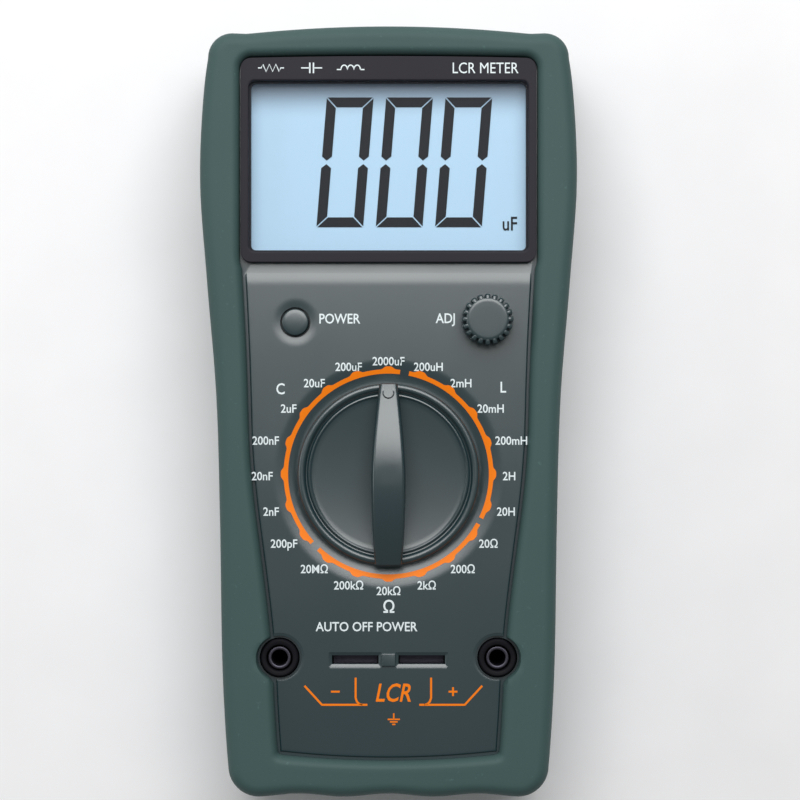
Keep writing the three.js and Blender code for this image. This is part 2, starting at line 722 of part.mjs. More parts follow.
function board() {
  const plate = raised(bodyOutline(insideInset + 1), boardZ, boardTop);
  const holes = [
    ...caseScrews.map(([x, y]) => cylinder(bossRadius + 0.6, x, y, boardZ - 1, boardTop + 1, 14)),
    ...boardScrews.map(([x, y]) => cylinder(1.2, x, y, boardZ - 1, boardTop + 1, 10)),
    ...[-1, 1].map((side) =>
      cylinder(JACK_DIAMETER / 2 + 0.6, side * jackX, jackY, boardZ - 1, boardTop + 1, 24),
    ),
    cylinder(2.1, powerX, powerY, boardZ - 1, boardTop + 1, 20),
  ];
  piece("main_pcb", cutBy(plate, holes), boardGreen());
  const chip = { half: 7, y: 55 };
  piece(
    "meter_chip",
    slab(chip.half, chip.y - chip.half, chip.y + chip.half, boardZ - GAP - 2, boardZ - GAP),
    black(),
  );
  boardScrews.forEach(([x, y], i) => {
    const under = boardZ - GAP;
    const head = cylinder(2, x, y, under - 1.3, under, 12);
    const shank = cylinder(0.9, x, y, under - 0.5, ceilingZ - 1, 8);
    const slot = box(x - 2.5, x + 2.5, y - 0.25, y + 0.25, under - 2, under - 0.7);
    piece("pcb_screw_" + (i + 1), head.add(shank).subtract(slot), steel());
  });
}

function fuse() {
  const x = BATTERY.wide / 2 + 10.5;
  const y = DIAL_Y - 14;
  const z = boardZ - GAP - 3.7;
  const glass = new THREE.CylinderGeometry(2.5, 2.5, 20, 24);
  glass.translate(x, y, z);
  piece("fuse", solid(glass), finish(0xcfd3d6, 0.2, 0.4));
  [-1, 1].forEach((end, i) => {
    const middle = y + end * 7.2;
    const block = box(x - 3.2, x + 3.2, middle - 1.5, middle + 1.5, z - 2, boardZ - GAP);
    const bore = new THREE.CylinderGeometry(2.8, 2.8, 6, 24);
    bore.translate(x, middle, z);
    const mouth = box(x - 2.4, x + 2.4, middle - 3, middle + 3, z - 4, z);
    piece("fuse_clip_" + (i + 1), cutBy(block, [solid(bore), mouth]), brass());
  });
}

// ---- Power button ----
function power() {
  const top = panelZ + 0.7;
  const r = POWER_DIAMETER / 2;
  const flangeZ = ceilingZ - GAP;
  const cap = turned(
    [
      [0, flangeZ - 0.8],
      [r + 1.2, flangeZ - 0.8],
      [r + 1.2, flangeZ],
      [r, flangeZ],
      [r, top - 0.7],
      [r - 0.35, top - 0.35],
      [r - 1.2, top - 0.1],
      [0, top],
    ],
    powerX,
    powerY,
    32,
  );
  piece("power_button", cap, panelGrey());
  const plungerTop = flangeZ - 0.8 - GAP;
  const springHigh = powerBody.low + 1.5 + 5.8;
  const plunger = cylinder(1.6, powerX, powerY, springHigh + GAP, plungerTop, 24);
  piece("power_switch_plunger", plunger, finish(0xe4e2dc, 0.5));
  const half = 3.6;
  const body = box(
    powerX - half, powerX + half, powerY - half, powerY + half, powerBody.low, powerBody.high,
  );
  const bore = cylinder(2.1, powerX, powerY, powerBody.low + 1.2, powerBody.high + 1, 24);
  piece("power_switch_body", body.subtract(bore), black());
  piece(
    "power_switch_spring",
    coil(1.5, 0.2, powerX, powerY, powerBody.low + 1.5, springHigh, 5, 9),
    steel(),
  );
}

// ---- Adjuster ----
function adjuster() {
  const knobLow = panelZ + GAP;
  const outer = ADJ_DIAMETER / 2;
  const topRadius = ADJ_TOP_DIAMETER / 2;
  const skirtShape = new THREE.Shape();
  for (let i = 0; i < ADJ_TEETH; i++) {
    const middle = (i / ADJ_TEETH) * 2 * Math.PI;
    const step = Math.PI / ADJ_TEETH;
    [[-0.62, -0.75], [-0.34, 0], [0.34, 0], [0.62, -0.75]].forEach(([turn, drop], k) => {
      const a = middle + turn * step;
      const r = outer + drop;
      const x = adjX + r * Math.cos(a);
      const y = controlsY + r * Math.sin(a);
      if (i === 0 && k === 0) skirtShape.moveTo(x, y);
      else skirtShape.lineTo(x, y);
    });
  }
  skirtShape.closePath();
  const skirt = raised(skirtShape, knobLow, knobLow + ADJ_HEIGHT);
  const crown = turned(
    [
      [0, knobLow - 1],
      [outer + 1, knobLow - 1],
      [outer + 1, knobLow + 0.9],
      [topRadius + 0.5, knobLow + ADJ_HEIGHT - 0.4],
      [topRadius - 0.1, knobLow + ADJ_HEIGHT],
      [topRadius - 0.9, knobLow + ADJ_HEIGHT - 0.25],
      [0, knobLow + ADJ_HEIGHT - 0.25],
    ],
    adjX,
    controlsY,
    40,
  );
  const bore = cylinder(ADJ_SHAFT_RADIUS + 0.05, adjX, controlsY, knobLow - 1, knobLow + 3.3, 24);
  piece("adj_knob", skirt.intersect(crown).subtract(bore), panelGrey());
  const shaft = cylinder(ADJ_SHAFT_RADIUS - 0.25, adjX, controlsY, adjBodyHigh - 2, knobLow + 3, 24);
  piece("adj_shaft", shaft, steel());
  const half = 4.6;
  const body = box(
    adjX - half, adjX + half, controlsY - half, controlsY + half, boardTop + GAP, adjBodyHigh,
  );
  const bodyBore = cylinder(ADJ_SHAFT_RADIUS, adjX, controlsY, adjBodyHigh - 2.3, adjBodyHigh + 1, 24);
  piece("adj_pot_body", body.subtract(bodyBore), finish(0x2d4f8a, 0.5));
}

// ---- Range dial ----
const dialTop = panelZ + DIAL_HEIGHT;
const knobUnder = dialFloor + 1.1;
const rotorTop = dialCeiling - GAP;
const rotorLow = rotorTop - ROTOR_THICK;

function dialBar() {
  const tip = dialRadius - 0.25;
  const plan = new THREE.Shape();
  plan.moveTo(-BAR_TIP / 2, DIAL_Y + tip);
  plan.quadraticCurveTo(-BAR_MIDDLE / 2 + 0.6, DIAL_Y + tip * 0.45, -BAR_MIDDLE / 2, DIAL_Y - 1.5);
  plan.quadraticCurveTo(-BAR_MIDDLE / 2, DIAL_Y - tip * 0.6, -BAR_TAIL / 2, DIAL_Y - tip);
  plan.lineTo(BAR_TAIL / 2, DIAL_Y - tip);
  plan.quadraticCurveTo(BAR_MIDDLE / 2, DIAL_Y - tip * 0.6, BAR_MIDDLE / 2, DIAL_Y - 1.5);
  plan.quadraticCurveTo(BAR_MIDDLE / 2 - 0.6, DIAL_Y + tip * 0.45, BAR_TIP / 2, DIAL_Y + tip);
  plan.closePath();
  const column = raised(plan, knobUnder + 1, dialTop + 1);
  const arch = new THREE.Shape();
  const endZ = panelZ + BAR_END_RISE;
  arch.moveTo(DIAL_Y - dialRadius, knobUnder + 1);
  arch.lineTo(DIAL_Y + dialRadius, knobUnder + 1);
  arch.lineTo(DIAL_Y + dialRadius, endZ);
  for (let i = 1; i <= 20; i++) {
    const along = 1 - i / 10;
    arch.lineTo(DIAL_Y + along * dialRadius, endZ + (dialTop - endZ) * (1 - along * along));
  }
  arch.closePath();
  const sideways = new THREE.ExtrudeGeometry(arch, { depth: 12, bevelEnabled: false, curveSegments: 4 });
  sideways.translate(0, 0, -6);
  sideways.applyMatrix4(
    new THREE.Matrix4().makeBasis(
      new THREE.Vector3(0, 1, 0),
      new THREE.Vector3(0, 0, 1),
      new THREE.Vector3(1, 0, 0),
    ),
  );
  const dimpleAt = tip - DIMPLE.fromTip;
  const dimpleZ = endZ + (dialTop - endZ) * (1 - (dimpleAt / dialRadius) ** 2);
  const dimple = ring(
    DIMPLE.outer, DIMPLE.inner, 0, DIAL_Y + dimpleAt, dimpleZ - DIMPLE.deep, dimpleZ + 3, 20,
  );
  return column.intersect(solid(sideways)).subtract(dimple);
}

function dial() {
  const dish = DIAL_DISH_DIAMETER / 2;
  const crest = panelZ + DIAL_RIM_RISE;
  const disc = turned(
    [
      [0, knobUnder],
      [14, knobUnder],
      [14.4, dialFloor + 0.4],
      [dialRadius - 0.6, dialFloor + 0.4],
      [dialRadius, dialFloor + 1],
      [dialRadius, crest - 0.9],
      [dialRadius - 0.35, crest - 0.25],
      [dialRadius - 1.1, crest],
      [dialRadius - 1.9, crest - 0.4],
      [dish + 0.5, crest - 1.2],
      [dish, crest - 0.8],
      [dish - 0.8, crest - 1.5],
      [dish * 0.6, crest - 1.9],
      [0, crest - 2.1],
    ],
    0,
    DIAL_Y,
    48,
  );
  const hub = cylinder(HUB_RADIUS, 0, DIAL_Y, dialCeiling, knobUnder + 1, 32);
  const key = box(
    -KEY_WIDTH / 2, KEY_WIDTH / 2, DIAL_Y - KEY_WIDTH / 2, DIAL_Y + KEY_WIDTH / 2, rotorLow, dialCeiling + 1,
  );
  piece("dial_knob", joined([disc, hub, key, dialBar()]), panelGrey());
  piece(
    "dial_washer",
    ring(12.6, 10, 0, DIAL_Y, dialFloor + 0.35, knobUnder - GAP, 24),
    finish(0x8c8f90, 0.9),
  );
}

// The rotor under the panel carries the wipers, and two sprung balls that click in the ring.
function dialRotor() {
  const slotLow = 12.2;
  const halfKey = KEY_WIDTH / 2 + GAP;
  const disc = cylinder(ROTOR_RADIUS, 0, DIAL_Y, rotorLow, rotorTop, 40);
  const ballSlot = BALL_RADIUS + 0.15;
  const cutters = [
    box(-halfKey, halfKey, DIAL_Y - halfKey, DIAL_Y + halfKey, rotorLow - 1, rotorTop + 1),
    box(slotLow, ROTOR_RADIUS + 1, DIAL_Y - ballSlot, DIAL_Y + ballSlot, rotorLow - 1, rotorTop - 0.2),
    box(-ROTOR_RADIUS - 1, -slotLow, DIAL_Y - ballSlot, DIAL_Y + ballSlot, rotorLow - 1, rotorTop - 0.2),
  ];
  piece("dial_rotor", cutBy(disc, cutters), finish(0xe6e2d6, 0.6));
  const ballX = detentCrest - 0.15 - BALL_RADIUS;
  const middleZ = rotorLow + 0.85;
  [-1, 1].forEach((side, i) => {
    const ball = new THREE.SphereGeometry(BALL_RADIUS, 10, 7);
    ball.translate(side * ballX, DIAL_Y, middleZ - 0.1);
    piece("detent_ball_" + (i + 1), solid(ball), steel());
    const upright = coil(0.45, 0.1, 0, 0, slotLow + 0.2, ballX - BALL_RADIUS - 0.1, 4, 7);
    const along = upright.rotate([0, side * 90, 0]).translate([0, DIAL_Y, middleZ]);
    piece("detent_spring_" + (i + 1), along, steel());
  });
  for (let i = 0; i < 4; i++) {
    const { near, far, half } = WIPER;
    const strip = box(near, far, -half, half, boardTop + GAP, rotorLow - GAP);
    const turnedStrip = strip.rotate([0, 0, 45 + 90 * i]).translate([0, DIAL_Y, 0]);
    piece("wiper_contact_" + (i + 1), turnedStrip, brass());
  }
}

// ---- Jacks and component slots ----
function jacks() {
  [-1, 1].forEach((side) => {
    const name = side < 0 ? "neg" : "pos";
    const x = side * jackX;
    const top = panelZ + 0.3;
    const low = top - JACK_LENGTH;
    const sleeveRadius = JACK_SLEEVE_DIAMETER / 2;
    const r = JACK_DIAMETER / 2;
    const cup = turned(
      [
        [0, low],
        [r, low],
        [r, top - 0.4],
        [r - 0.4, top],
        [sleeveRadius + 0.8, top],
        [sleeveRadius + GAP, top - 0.5],
        [sleeveRadius + GAP, low + 1.5],
        [0, low + 1.5],
      ],
      x,
      jackY,
      28,
    );
    piece("jack_insulator_" + name, cup, black());
    const sleeve = turned(
      [
        [JACK_BORE / 2, low + 1.8],
        [sleeveRadius, low + 1.8],
        [sleeveRadius, top - 1.3],
        [sleeveRadius - 0.3, top - 1],
        [JACK_BORE / 2, top - 1],
        [JACK_BORE / 2, low + 1.8],
      ],
      x,
      jackY,
      24,
    );
    piece("jack_sleeve_" + name, sleeve, nickel());
  });
}

function testSocket() {
  const y = slotY;
  const low = boardTop + GAP;
  const high = ceilingZ - GAP;
  const cavityWide = SLOT_WIDTH + 1.4;
  const blockHalf = cavityWide / 2 + 1.4;
  const block = slab(SLOT_X + SLOT_LENGTH / 2 + 1.6, y - blockHalf, y + blockHalf, low, high);
  const cavities = [-1, 1].map((side) =>
    box(
      side * SLOT_X - SLOT_LENGTH / 2, side * SLOT_X + SLOT_LENGTH / 2,
      y - cavityWide / 2, y + cavityWide / 2, low + 0.5, high + 1,
    ),
  );
  piece("test_socket", cutBy(block, cavities), black());
  [-1, 1].forEach((side) => {
    const name = side < 0 ? "neg" : "pos";
    const x = side * SLOT_X;
    const half = SLOT_LENGTH / 2 - GAP;
    const wide = cavityWide / 2 - GAP;
    const channel = box(x - half, x + half, y - wide, y + wide, low + 0.5 + GAP, high - 0.1).subtract(
      box(x - half - 1, x + half + 1, y - wide + 0.45, y + wide - 0.45, low + 1.3, high + 1),
    );
    piece("test_clip_" + name, channel, nickel());
  });
}

// ---- Battery and its door ----
const openingHalf = BATTERY.wide / 2 + 0.7;
const doorHalf = openingHalf + DOOR_MARGIN;
const doorFoot = -halfLength + WINDOW_BACK_FOOT + DOOR_TO_RIM;
const openingFoot = doorFoot + DOOR_MARGIN;
const batteryY = openingFoot + 1.2 + BATTERY.long / 2;
const openingTop = batteryY + BATTERY.long / 2 + 5;
const doorTop = openingTop + 2 * DOOR_MARGIN + 2;
const doorScrewY = openingTop + DOOR_MARGIN + 1.4;
const doorLedge = doorHigh + GAP;

function battery() {
  const low = batteryLow;
  const half = BATTERY.wide / 2;
  const end = batteryY + BATTERY.long / 2;
  const middle = low + BATTERY.thick / 2;
  const outline = roundedRectangle(half, low, low + BATTERY.thick, 2);
  const can = new THREE.ExtrudeGeometry(outline, {
    depth: BATTERY.long,
    bevelEnabled: false,
    curveSegments: 4,
  });
  can.rotateX(Math.PI / 2);
  can.translate(0, end, 0);
  const studs = [-1, 1].map((side) => {
    const stud = new THREE.CylinderGeometry(2.8, 2.8, 2.7, 20);
    stud.translate(side * 6.35, end + 1.15, middle);
    return solid(stud);
  });
  piece("battery_9v", joined([solid(can), ...studs]), finish(0x2c2c30, 0.4, 0.3));
  const capPlate = box(-12.5, 12.5, end + GAP, end + 4.2, middle - 6, middle + 6);
  const sockets = [-1, 1].map((side) => {
    const bore = new THREE.CylinderGeometry(3.1, 3.1, 3.4, 20);
    bore.translate(side * 6.35, end + 1.3, middle);
    return solid(bore);
  });
  piece("battery_snap", cutBy(capPlate, sockets), black());
  [-1, 1].forEach((side) => {
    const from = end + 4.2 + GAP;
    const route = [
      [side * 5, from, middle],
      [side * 5, from + 3, middle + 0.5],
      [side * 5.6, from + 6, middle + 3.5],
      [side * 6, from + 8, boardZ - 3],
      [side * 6, from + 8.4, boardZ - GAP],
    ];
    const wire = tube(route.map((p) => new THREE.Vector3(...p)), 0.6, 12);
    piece("battery_lead_" + (side < 0 ? "red" : "black"), wire, side < 0 ? finish(0xb02a22, 0.5) : black());
  });
  const foam = slab(
    BATTERY.wide / 2 - 3, batteryY - 16, batteryY + 16, low + BATTERY.thick + GAP, boardZ - GAP,
  );
  piece("battery_pad", foam, finish(0x3a3a3c, 0.95));
}

function batteryDoor() {
  const plate = raised(roundedRectangle(doorHalf, doorFoot, doorTop, 1), rearZ, doorHigh);
  const lugs = [-1, 1].map((side) => {
    const x = side * openingHalf * 0.6;
    const lug = openingFoot + GAP;
    return box(x - 2, x + 2, lug, lug + 0.6, doorHigh - 0.5, doorLedge + 2.7);
  });
  const grips = [-2, -1, 0, 1, 2].map((i) =>
    box(-7, 7, doorFoot + 8 + i * 2 - 0.4, doorFoot + 8 + i * 2 + 0.4, rearZ - 1, rearZ + 0.5),
  );
  const screwSeat = cylinder(2.7, 0, doorScrewY, rearZ - 1, rearZ + 0.9, 24);
  const screwHole = cylinder(1.5, 0, doorScrewY, rearZ - 1, doorHigh + 1, 20);
  piece("battery_door", cutBy(joined([plate, ...lugs]), [...grips, screwSeat, screwHole]), caseDark());
  const { head, headHigh, shank } = DOOR_SCREW;
  const made = screw(0, doorScrewY, rearZ + 0.1, headHigh, head, shank, doorLedge + 3.8, 0.3);
  piece("battery_door_screw", made, steel());
}

// A cross-head screw driven from the back: the head's face is at z, and the shank points to +Z.
function screw(x, y, z, headHigh, headRadius, shankRadius, endZ, crossDeep) {
  const head = cylinder(headRadius, x, y, z, z + headHigh, 16);
  const shank = cylinder(shankRadius, x, y, z + headHigh - 0.2, endZ, 8);
  const arm = headRadius * 0.6;
  const cross = joined([
    box(x - arm, x + arm, y - 0.3, y + 0.3, z - 1, z + crossDeep),
    box(x - 0.3, x + 0.3, y - arm, y + arm, z - 1, z + crossDeep),
  ]);
  return head.add(shank).subtract(cross);
}

function screws() {
  caseScrews.forEach(([x, y], i) => {
    const { head, headHigh, shank } = CASE_SCREW;
    const made = screw(x, y, screwHeadZ, headHigh, head, shank, screwEndZ, 0.6);
    piece("case_screw_" + (i + 1), made, steel());
  });
}

// ---- Tilt stand ----
const standAxisZ = rearZ + 0.8;
const standWell = standAxisZ + STAND_BARREL + 0.5;

function tiltStand() {
  const half = STAND_WIDTH / 2;
  const low = 0.4;
  const end = STAND_HINGE_Y - STAND_LENGTH;
  const leaf = raised(roundedRectangle(half, end, STAND_HINGE_Y, 4), low, low + STAND_THICK, 0.4, 1);
  const barrel = rod(STAND_BARREL, -half, half, STAND_HINGE_Y, standAxisZ, 20);
  const pins = rod(STAND_PIN, -half - 2.4, half + 2.4, STAND_HINGE_Y, standAxisZ, 14);
  const notch = cylinder(7, 0, end - 3.5, low - 1, low + 4, 24);
  piece("tilt_stand", joined([leaf, barrel, pins]).subtract(notch), caseDark());
}

holster();
frontCase();
rearCase();
display();
board();
fuse();
power();
adjuster();
dial();
dialRotor();
jacks();
testSocket();
battery();
batteryDoor();
screws();
tiltStand();

export default part;
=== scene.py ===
"""Looks of a handheld component tester: rubber holster, grey panel, display, range dial and jacks.

Lengths inside the functions are millimetres, and each mesh is scaled to metres as it is made.
"""
import math
from types import SimpleNamespace

import bmesh
import bpy
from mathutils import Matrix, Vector


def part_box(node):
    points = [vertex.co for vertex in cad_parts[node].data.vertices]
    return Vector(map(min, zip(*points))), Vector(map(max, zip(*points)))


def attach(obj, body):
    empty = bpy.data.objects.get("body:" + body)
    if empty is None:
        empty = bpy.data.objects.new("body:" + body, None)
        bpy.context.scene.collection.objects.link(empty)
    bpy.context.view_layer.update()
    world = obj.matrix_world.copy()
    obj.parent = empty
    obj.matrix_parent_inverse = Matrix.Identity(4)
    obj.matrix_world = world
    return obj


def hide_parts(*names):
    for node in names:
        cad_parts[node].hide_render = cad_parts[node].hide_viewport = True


bl_info = {
    "name": "Component tester",
    "version": (1, 0, 0),
    "blender": (4, 5, 0),
    "location": "View3D > Sidebar > Tester",
    "description": "Builds the looks of a handheld component tester around its packed frame",
    "category": "Add Mesh",
}

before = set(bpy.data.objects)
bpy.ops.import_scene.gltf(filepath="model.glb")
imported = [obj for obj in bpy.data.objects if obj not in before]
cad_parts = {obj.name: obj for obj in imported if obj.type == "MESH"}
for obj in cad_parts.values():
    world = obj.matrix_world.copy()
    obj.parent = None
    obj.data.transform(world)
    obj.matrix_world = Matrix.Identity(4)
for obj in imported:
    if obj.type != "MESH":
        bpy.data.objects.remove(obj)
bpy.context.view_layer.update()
MM = 0.001


# ---- Places read from the frame ----
class Box:
    """A node's box in millimetres."""

    def __init__(self, node):
        low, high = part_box(node)
        self.x0, self.y0, self.z0 = (v / MM for v in low)
        self.x1, self.y1, self.z1 = (v / MM for v in high)

    @property
    def x(self):
        return (self.x0 + self.x1) / 2

    @property
    def y(self):
        return (self.y0 + self.y1) / 2

    @property
    def half(self):
        return (self.x1 - self.x0) / 2


HOLSTER = Box("holster")
CASE = Box("front_case")
BEZEL = Box("display_bezel")
LENS = Box("display_lens")
LCD = Box("lcd_panel")
DIAL = Box("dial_knob")
POWER = Box("power_button")
ADJUSTER = Box("adj_knob")
JACK = Box("jack_insulator_pos")
SLEEVE = Box("jack_sleeve_pos")
CLIP = Box("test_clip_pos")
DOOR = Box("battery_door")
STAND = Box("tilt_stand")

# Clearances between pieces, and the holster's walls.
GAP = 0.3
RIM_GAP = 0.7
SNUG = 0.4
LIP = 3.0
WALL = 3.0
BACK_WALL = 2.5

# Heights, from the lip of the holster down to the panel's shoulder.
DEPTH = HOLSTER.z1
LIP_Z = DEPTH - LIP
SHOULDER_Z = LIP_Z - GAP
PANEL_Z = SHOULDER_Z + 1.3
CUT_LOW, CUT_HIGH = 20, 40

# Plan sizes that the outlines share.
HALF_LENGTH = HOLSTER.y1
HEAD_HALF = HOLSTER.half
FOOT_HALF = JACK.x + 14.2
TOP_ARCH = 1.85
SCALLOP_STEP = 22
DIAL_RADIUS = DIAL.half
DISH_OUTER = DIAL_RADIUS + 5.15
WELL_RADIUS = DIAL_RADIUS + 0.4
WAIST_RIM = 8.4
WAIST_HALF = DISH_OUTER + 5.7 + WAIST_RIM
PANEL_TOP = BEZEL.y0 - 0.3
PANEL_FOOT = -HALF_LENGTH + 9.6
FOOT_SAG = 1.5
BROW_LENGTH = 5.6
PANEL_ROUND = 0.45
BUTTON_HOLE = 3.75
BUTTON_DISH = (2.1, 0.26, 1.5)


# ---- Settings that a user would change ----
def linear(red, green, blue):
    """An 8-bit screen colour as the linear one that materials take."""

    def channel(value):
        value /= 255
        return value / 12.92 if value <= 0.04045 else ((value + 0.055) / 1.055) ** 2.4

    return tuple(channel(value) for value in (red, green, blue))


def length_setting(name, description, default, low=0.0, high=50.0):
    """A length, given here in millimetres and kept in metres."""
    return bpy.props.FloatProperty(
        name=name, description=description, default=default * MM, min=low * MM, max=high * MM,
        precision=4, unit="LENGTH",
    )


def colour_setting(name, description, default):
    return bpy.props.FloatVectorProperty(
        name=name, description=description, default=default, size=3, min=0, max=1, subtype="COLOR"
    )


class HolsterSettings(bpy.types.PropertyGroup):
    """The rubber boot."""

    edge_round: length_setting("Edge round", "Radius of the outer edges", 3.2)
    rim_flare: length_setting("Rim flare", "Width of the slope inside the front rim", 2.0)
    scallop: length_setting("Scallop", "Depth of the hollows across the foot", 0.8)
    rubber: colour_setting("Rubber", "Colour of the boot", linear(60, 85, 83))


class PanelSettings(bpy.types.PropertyGroup):
    """The grey front panel and the case halves."""

    crown: length_setting("Crown", "Fall of the panel towards its two ends", 0.9)
    brow: length_setting("Brow", "Fall of the top band under the display", 0.9)
    dish_depth: length_setting("Dish", "Depth of the dish round the dial", 1.3)
    plastic: colour_setting("Panel", "Colour of the front panel", linear(20, 47, 52))
    case: colour_setting("Case", "Colour of the rear case", linear(58, 68, 70))


class DisplaySettings(bpy.types.PropertyGroup):
    """The display and its digits."""

    digit_height: length_setting("Digit height", "Height of a digit", 32.2)
    digit_width: length_setting("Digit width", "Width of a digit", 11.6)
    stroke: length_setting("Stroke", "Width of a digit's segment", 2.45)
    slant: bpy.props.FloatProperty(
        name="Slant", description="Lean of the digits", default=math.radians(4.6), subtype="ANGLE"
    )
    # Painted shadow: the dim band is painted into the display's colour.
    shadow: length_setting("Shadow", "Width of the dim band along the display's top", 10.0)
    bezel: colour_setting("Bezel", "Colour of the display's surround", linear(38, 36, 43))
    glass: colour_setting("Display", "Colour of the lit display", linear(186, 222, 248))


class DialSettings(bpy.types.PropertyGroup):
    """The range dial and its printed scale."""

    positions: bpy.props.IntProperty(name="Positions", description="Clicks in a turn", default=20, min=4)
    arc_radius: length_setting("Arc radius", "Radius of the printed arcs", 25.3)
    arc_width: length_setting("Arc width", "Width of the printed arcs", 1.1)
    label_radius: length_setting("Label radius", "Radius of the range labels", 28.3)
    plastic: colour_setting("Dial", "Colour of the dial and the adjuster", linear(20, 47, 52))
    orange: colour_setting("Scale", "Colour of the printed arcs", linear(250, 128, 0))
    white: colour_setting("Lettering", "Colour of the labels", linear(228, 238, 240))


class StageSettings(bpy.types.PropertyGroup):
    """Camera and light."""

    camera_height: bpy.props.FloatProperty(
        name="Camera height", description="Above the bench", default=0.63, unit="LENGTH"
    )
    view_width: bpy.props.FloatProperty(
        name="View width", description="Seen across at the holster's rim", default=0.1977, unit="LENGTH"
    )
    key_power: bpy.props.FloatProperty(name="Key", description="Power of the main light", default=11.0)
    fill: bpy.props.FloatProperty(name="Fill", description="Strength of the room's light", default=0.2)


SETTINGS = (
    ("tester_holster", HolsterSettings),
    ("tester_panel", PanelSettings),
    ("tester_display", DisplaySettings),
    ("tester_dial", DialSettings),
    ("tester_stage", StageSettings),
)


def in_millimetres(group):
    """A copy of a settings group whose lengths are millimetres."""
    values = {}
    for field, setting in type(group).__annotations__.items():
        value = getattr(group, field)
        values[field] = value / MM if setting.keywords.get("unit") == "LENGTH" else value
    return SimpleNamespace(**values)


# ---- Node helpers ----
def link(tree, source, target):
    tree.links.new(source, target)


def shader_group(name, sockets_in, sockets_out):
    group = bpy.data.node_groups.new(name, "ShaderNodeTree")
    for label, kind, default in sockets_in:
        socket = group.interface.new_socket(name=label, in_out="INPUT", socket_type=kind)
        socket.default_value = default
    for label, kind in sockets_out:
        group.interface.new_socket(name=label, in_out="OUTPUT", socket_type=kind)
    return group, group.nodes.new("NodeGroupInput"), group.nodes.new("NodeGroupOutput")


def grain_group():
    """Moulded surface: two shades that drift into each other, a fine grain and its roughness."""
    found = bpy.data.node_groups.get("moulded_grain")
    if found:
        return found
    group, start, end = shader_group(
        "moulded_grain",
        [
            ("Colour", "NodeSocketColor", (0.1, 0.1, 0.1, 1)),
            ("Shade", "NodeSocketColor", (0.08, 0.08, 0.08, 1)),
            ("Grain per metre", "NodeSocketFloat", 4000.0),
            ("Roughness", "NodeSocketFloat", 0.5),
            ("Roughness drift", "NodeSocketFloat", 0.08),
        ],
        [("Colour", "NodeSocketColor"), ("Roughness", "NodeSocketFloat"), ("Height", "NodeSocketFloat")],
    )
    nodes = group.nodes
    place = nodes.new("ShaderNodeTexCoord")
    drift = nodes.new("ShaderNodeTexNoise")
    drift.inputs["Scale"].default_value = 38
    drift.inputs["Detail"].default_value = 4
    grain = nodes.new("ShaderNodeTexNoise")
    grain.inputs["Detail"].default_value = 3
    grain.inputs["Roughness"].default_value = 0.6
    link(group, place.outputs["Object"], drift.inputs["Vector"])
    link(group, place.outputs["Object"], grain.inputs["Vector"])
    link(group, start.outputs["Grain per metre"], grain.inputs["Scale"])
    mix = nodes.new("ShaderNodeMix")
    mix.data_type = "RGBA"
    link(group, drift.outputs["Fac"], mix.inputs["Factor"])
    link(group, start.outputs["Colour"], mix.inputs["A"])
    link(group, start.outputs["Shade"], mix.inputs["B"])
    link(group, mix.outputs["Result"], end.inputs["Colour"])
    sway = nodes.new("ShaderNodeMath")
    sway.operation = "MULTIPLY_ADD"
    link(group, drift.outputs["Fac"], sway.inputs[0])
    link(group, start.outputs["Roughness drift"], sway.inputs[1])
    link(group, start.outputs["Roughness"], sway.inputs[2])
    link(group, sway.outputs["Value"], end.inputs["Roughness"])
    link(group, grain.outputs["Fac"], end.inputs["Height"])
    return group


def specks_group():
    """Sparse pale specks of dust, from the tips of a fine noise."""
    found = bpy.data.node_groups.get("dust_specks")
    if found:
        return found
    group, start, end = shader_group(
        "dust_specks",
        [
            ("Colour", "NodeSocketColor", (0.1, 0.1, 0.1, 1)),
            ("Dust", "NodeSocketColor", (0.5, 0.5, 0.5, 1)),
            ("Amount", "NodeSocketFloat", 0.3),
            ("Specks per metre", "NodeSocketFloat", 900.0),
        ],
        [("Colour", "NodeSocketColor")],
    )
    nodes = group.nodes
    place = nodes.new("ShaderNodeTexCoord")
    noise = nodes.new("ShaderNodeTexNoise")
    noise.inputs["Detail"].default_value = 2
    link(group, place.outputs["Object"], noise.inputs["Vector"])
    link(group, start.outputs["Specks per metre"], noise.inputs["Scale"])
    tips = nodes.new("ShaderNodeMapRange")
    tips.inputs["From Min"].default_value = 0.68
    tips.inputs["From Max"].default_value = 0.78
    link(group, noise.outputs["Fac"], tips.inputs["Value"])
    share = nodes.new("ShaderNodeMath")
    share.operation = "MULTIPLY"
    link(group, tips.outputs["Result"], share.inputs[0])
    link(group, start.outputs["Amount"], share.inputs[1])
    mix = nodes.new("ShaderNodeMix")
    mix.data_type = "RGBA"
    link(group, share.outputs["Value"], mix.inputs["Factor"])
    link(group, start.outputs["Colour"], mix.inputs["A"])
    link(group, start.outputs["Dust"], mix.inputs["B"])
    link(group, mix.outputs["Result"], end.inputs["Colour"])
    return group


def made_already(name):
    return bpy.data.materials.get("fine_" + name)


def new_material(name):
    material = bpy.data.materials.new("fine_" + name)
    material.use_nodes = True
    tree = material.node_tree
    return material, tree, tree.nodes["Principled BSDF"]


def shade_of(colour, factor):
    return tuple(c * factor for c in colour[:3]) + (1,)


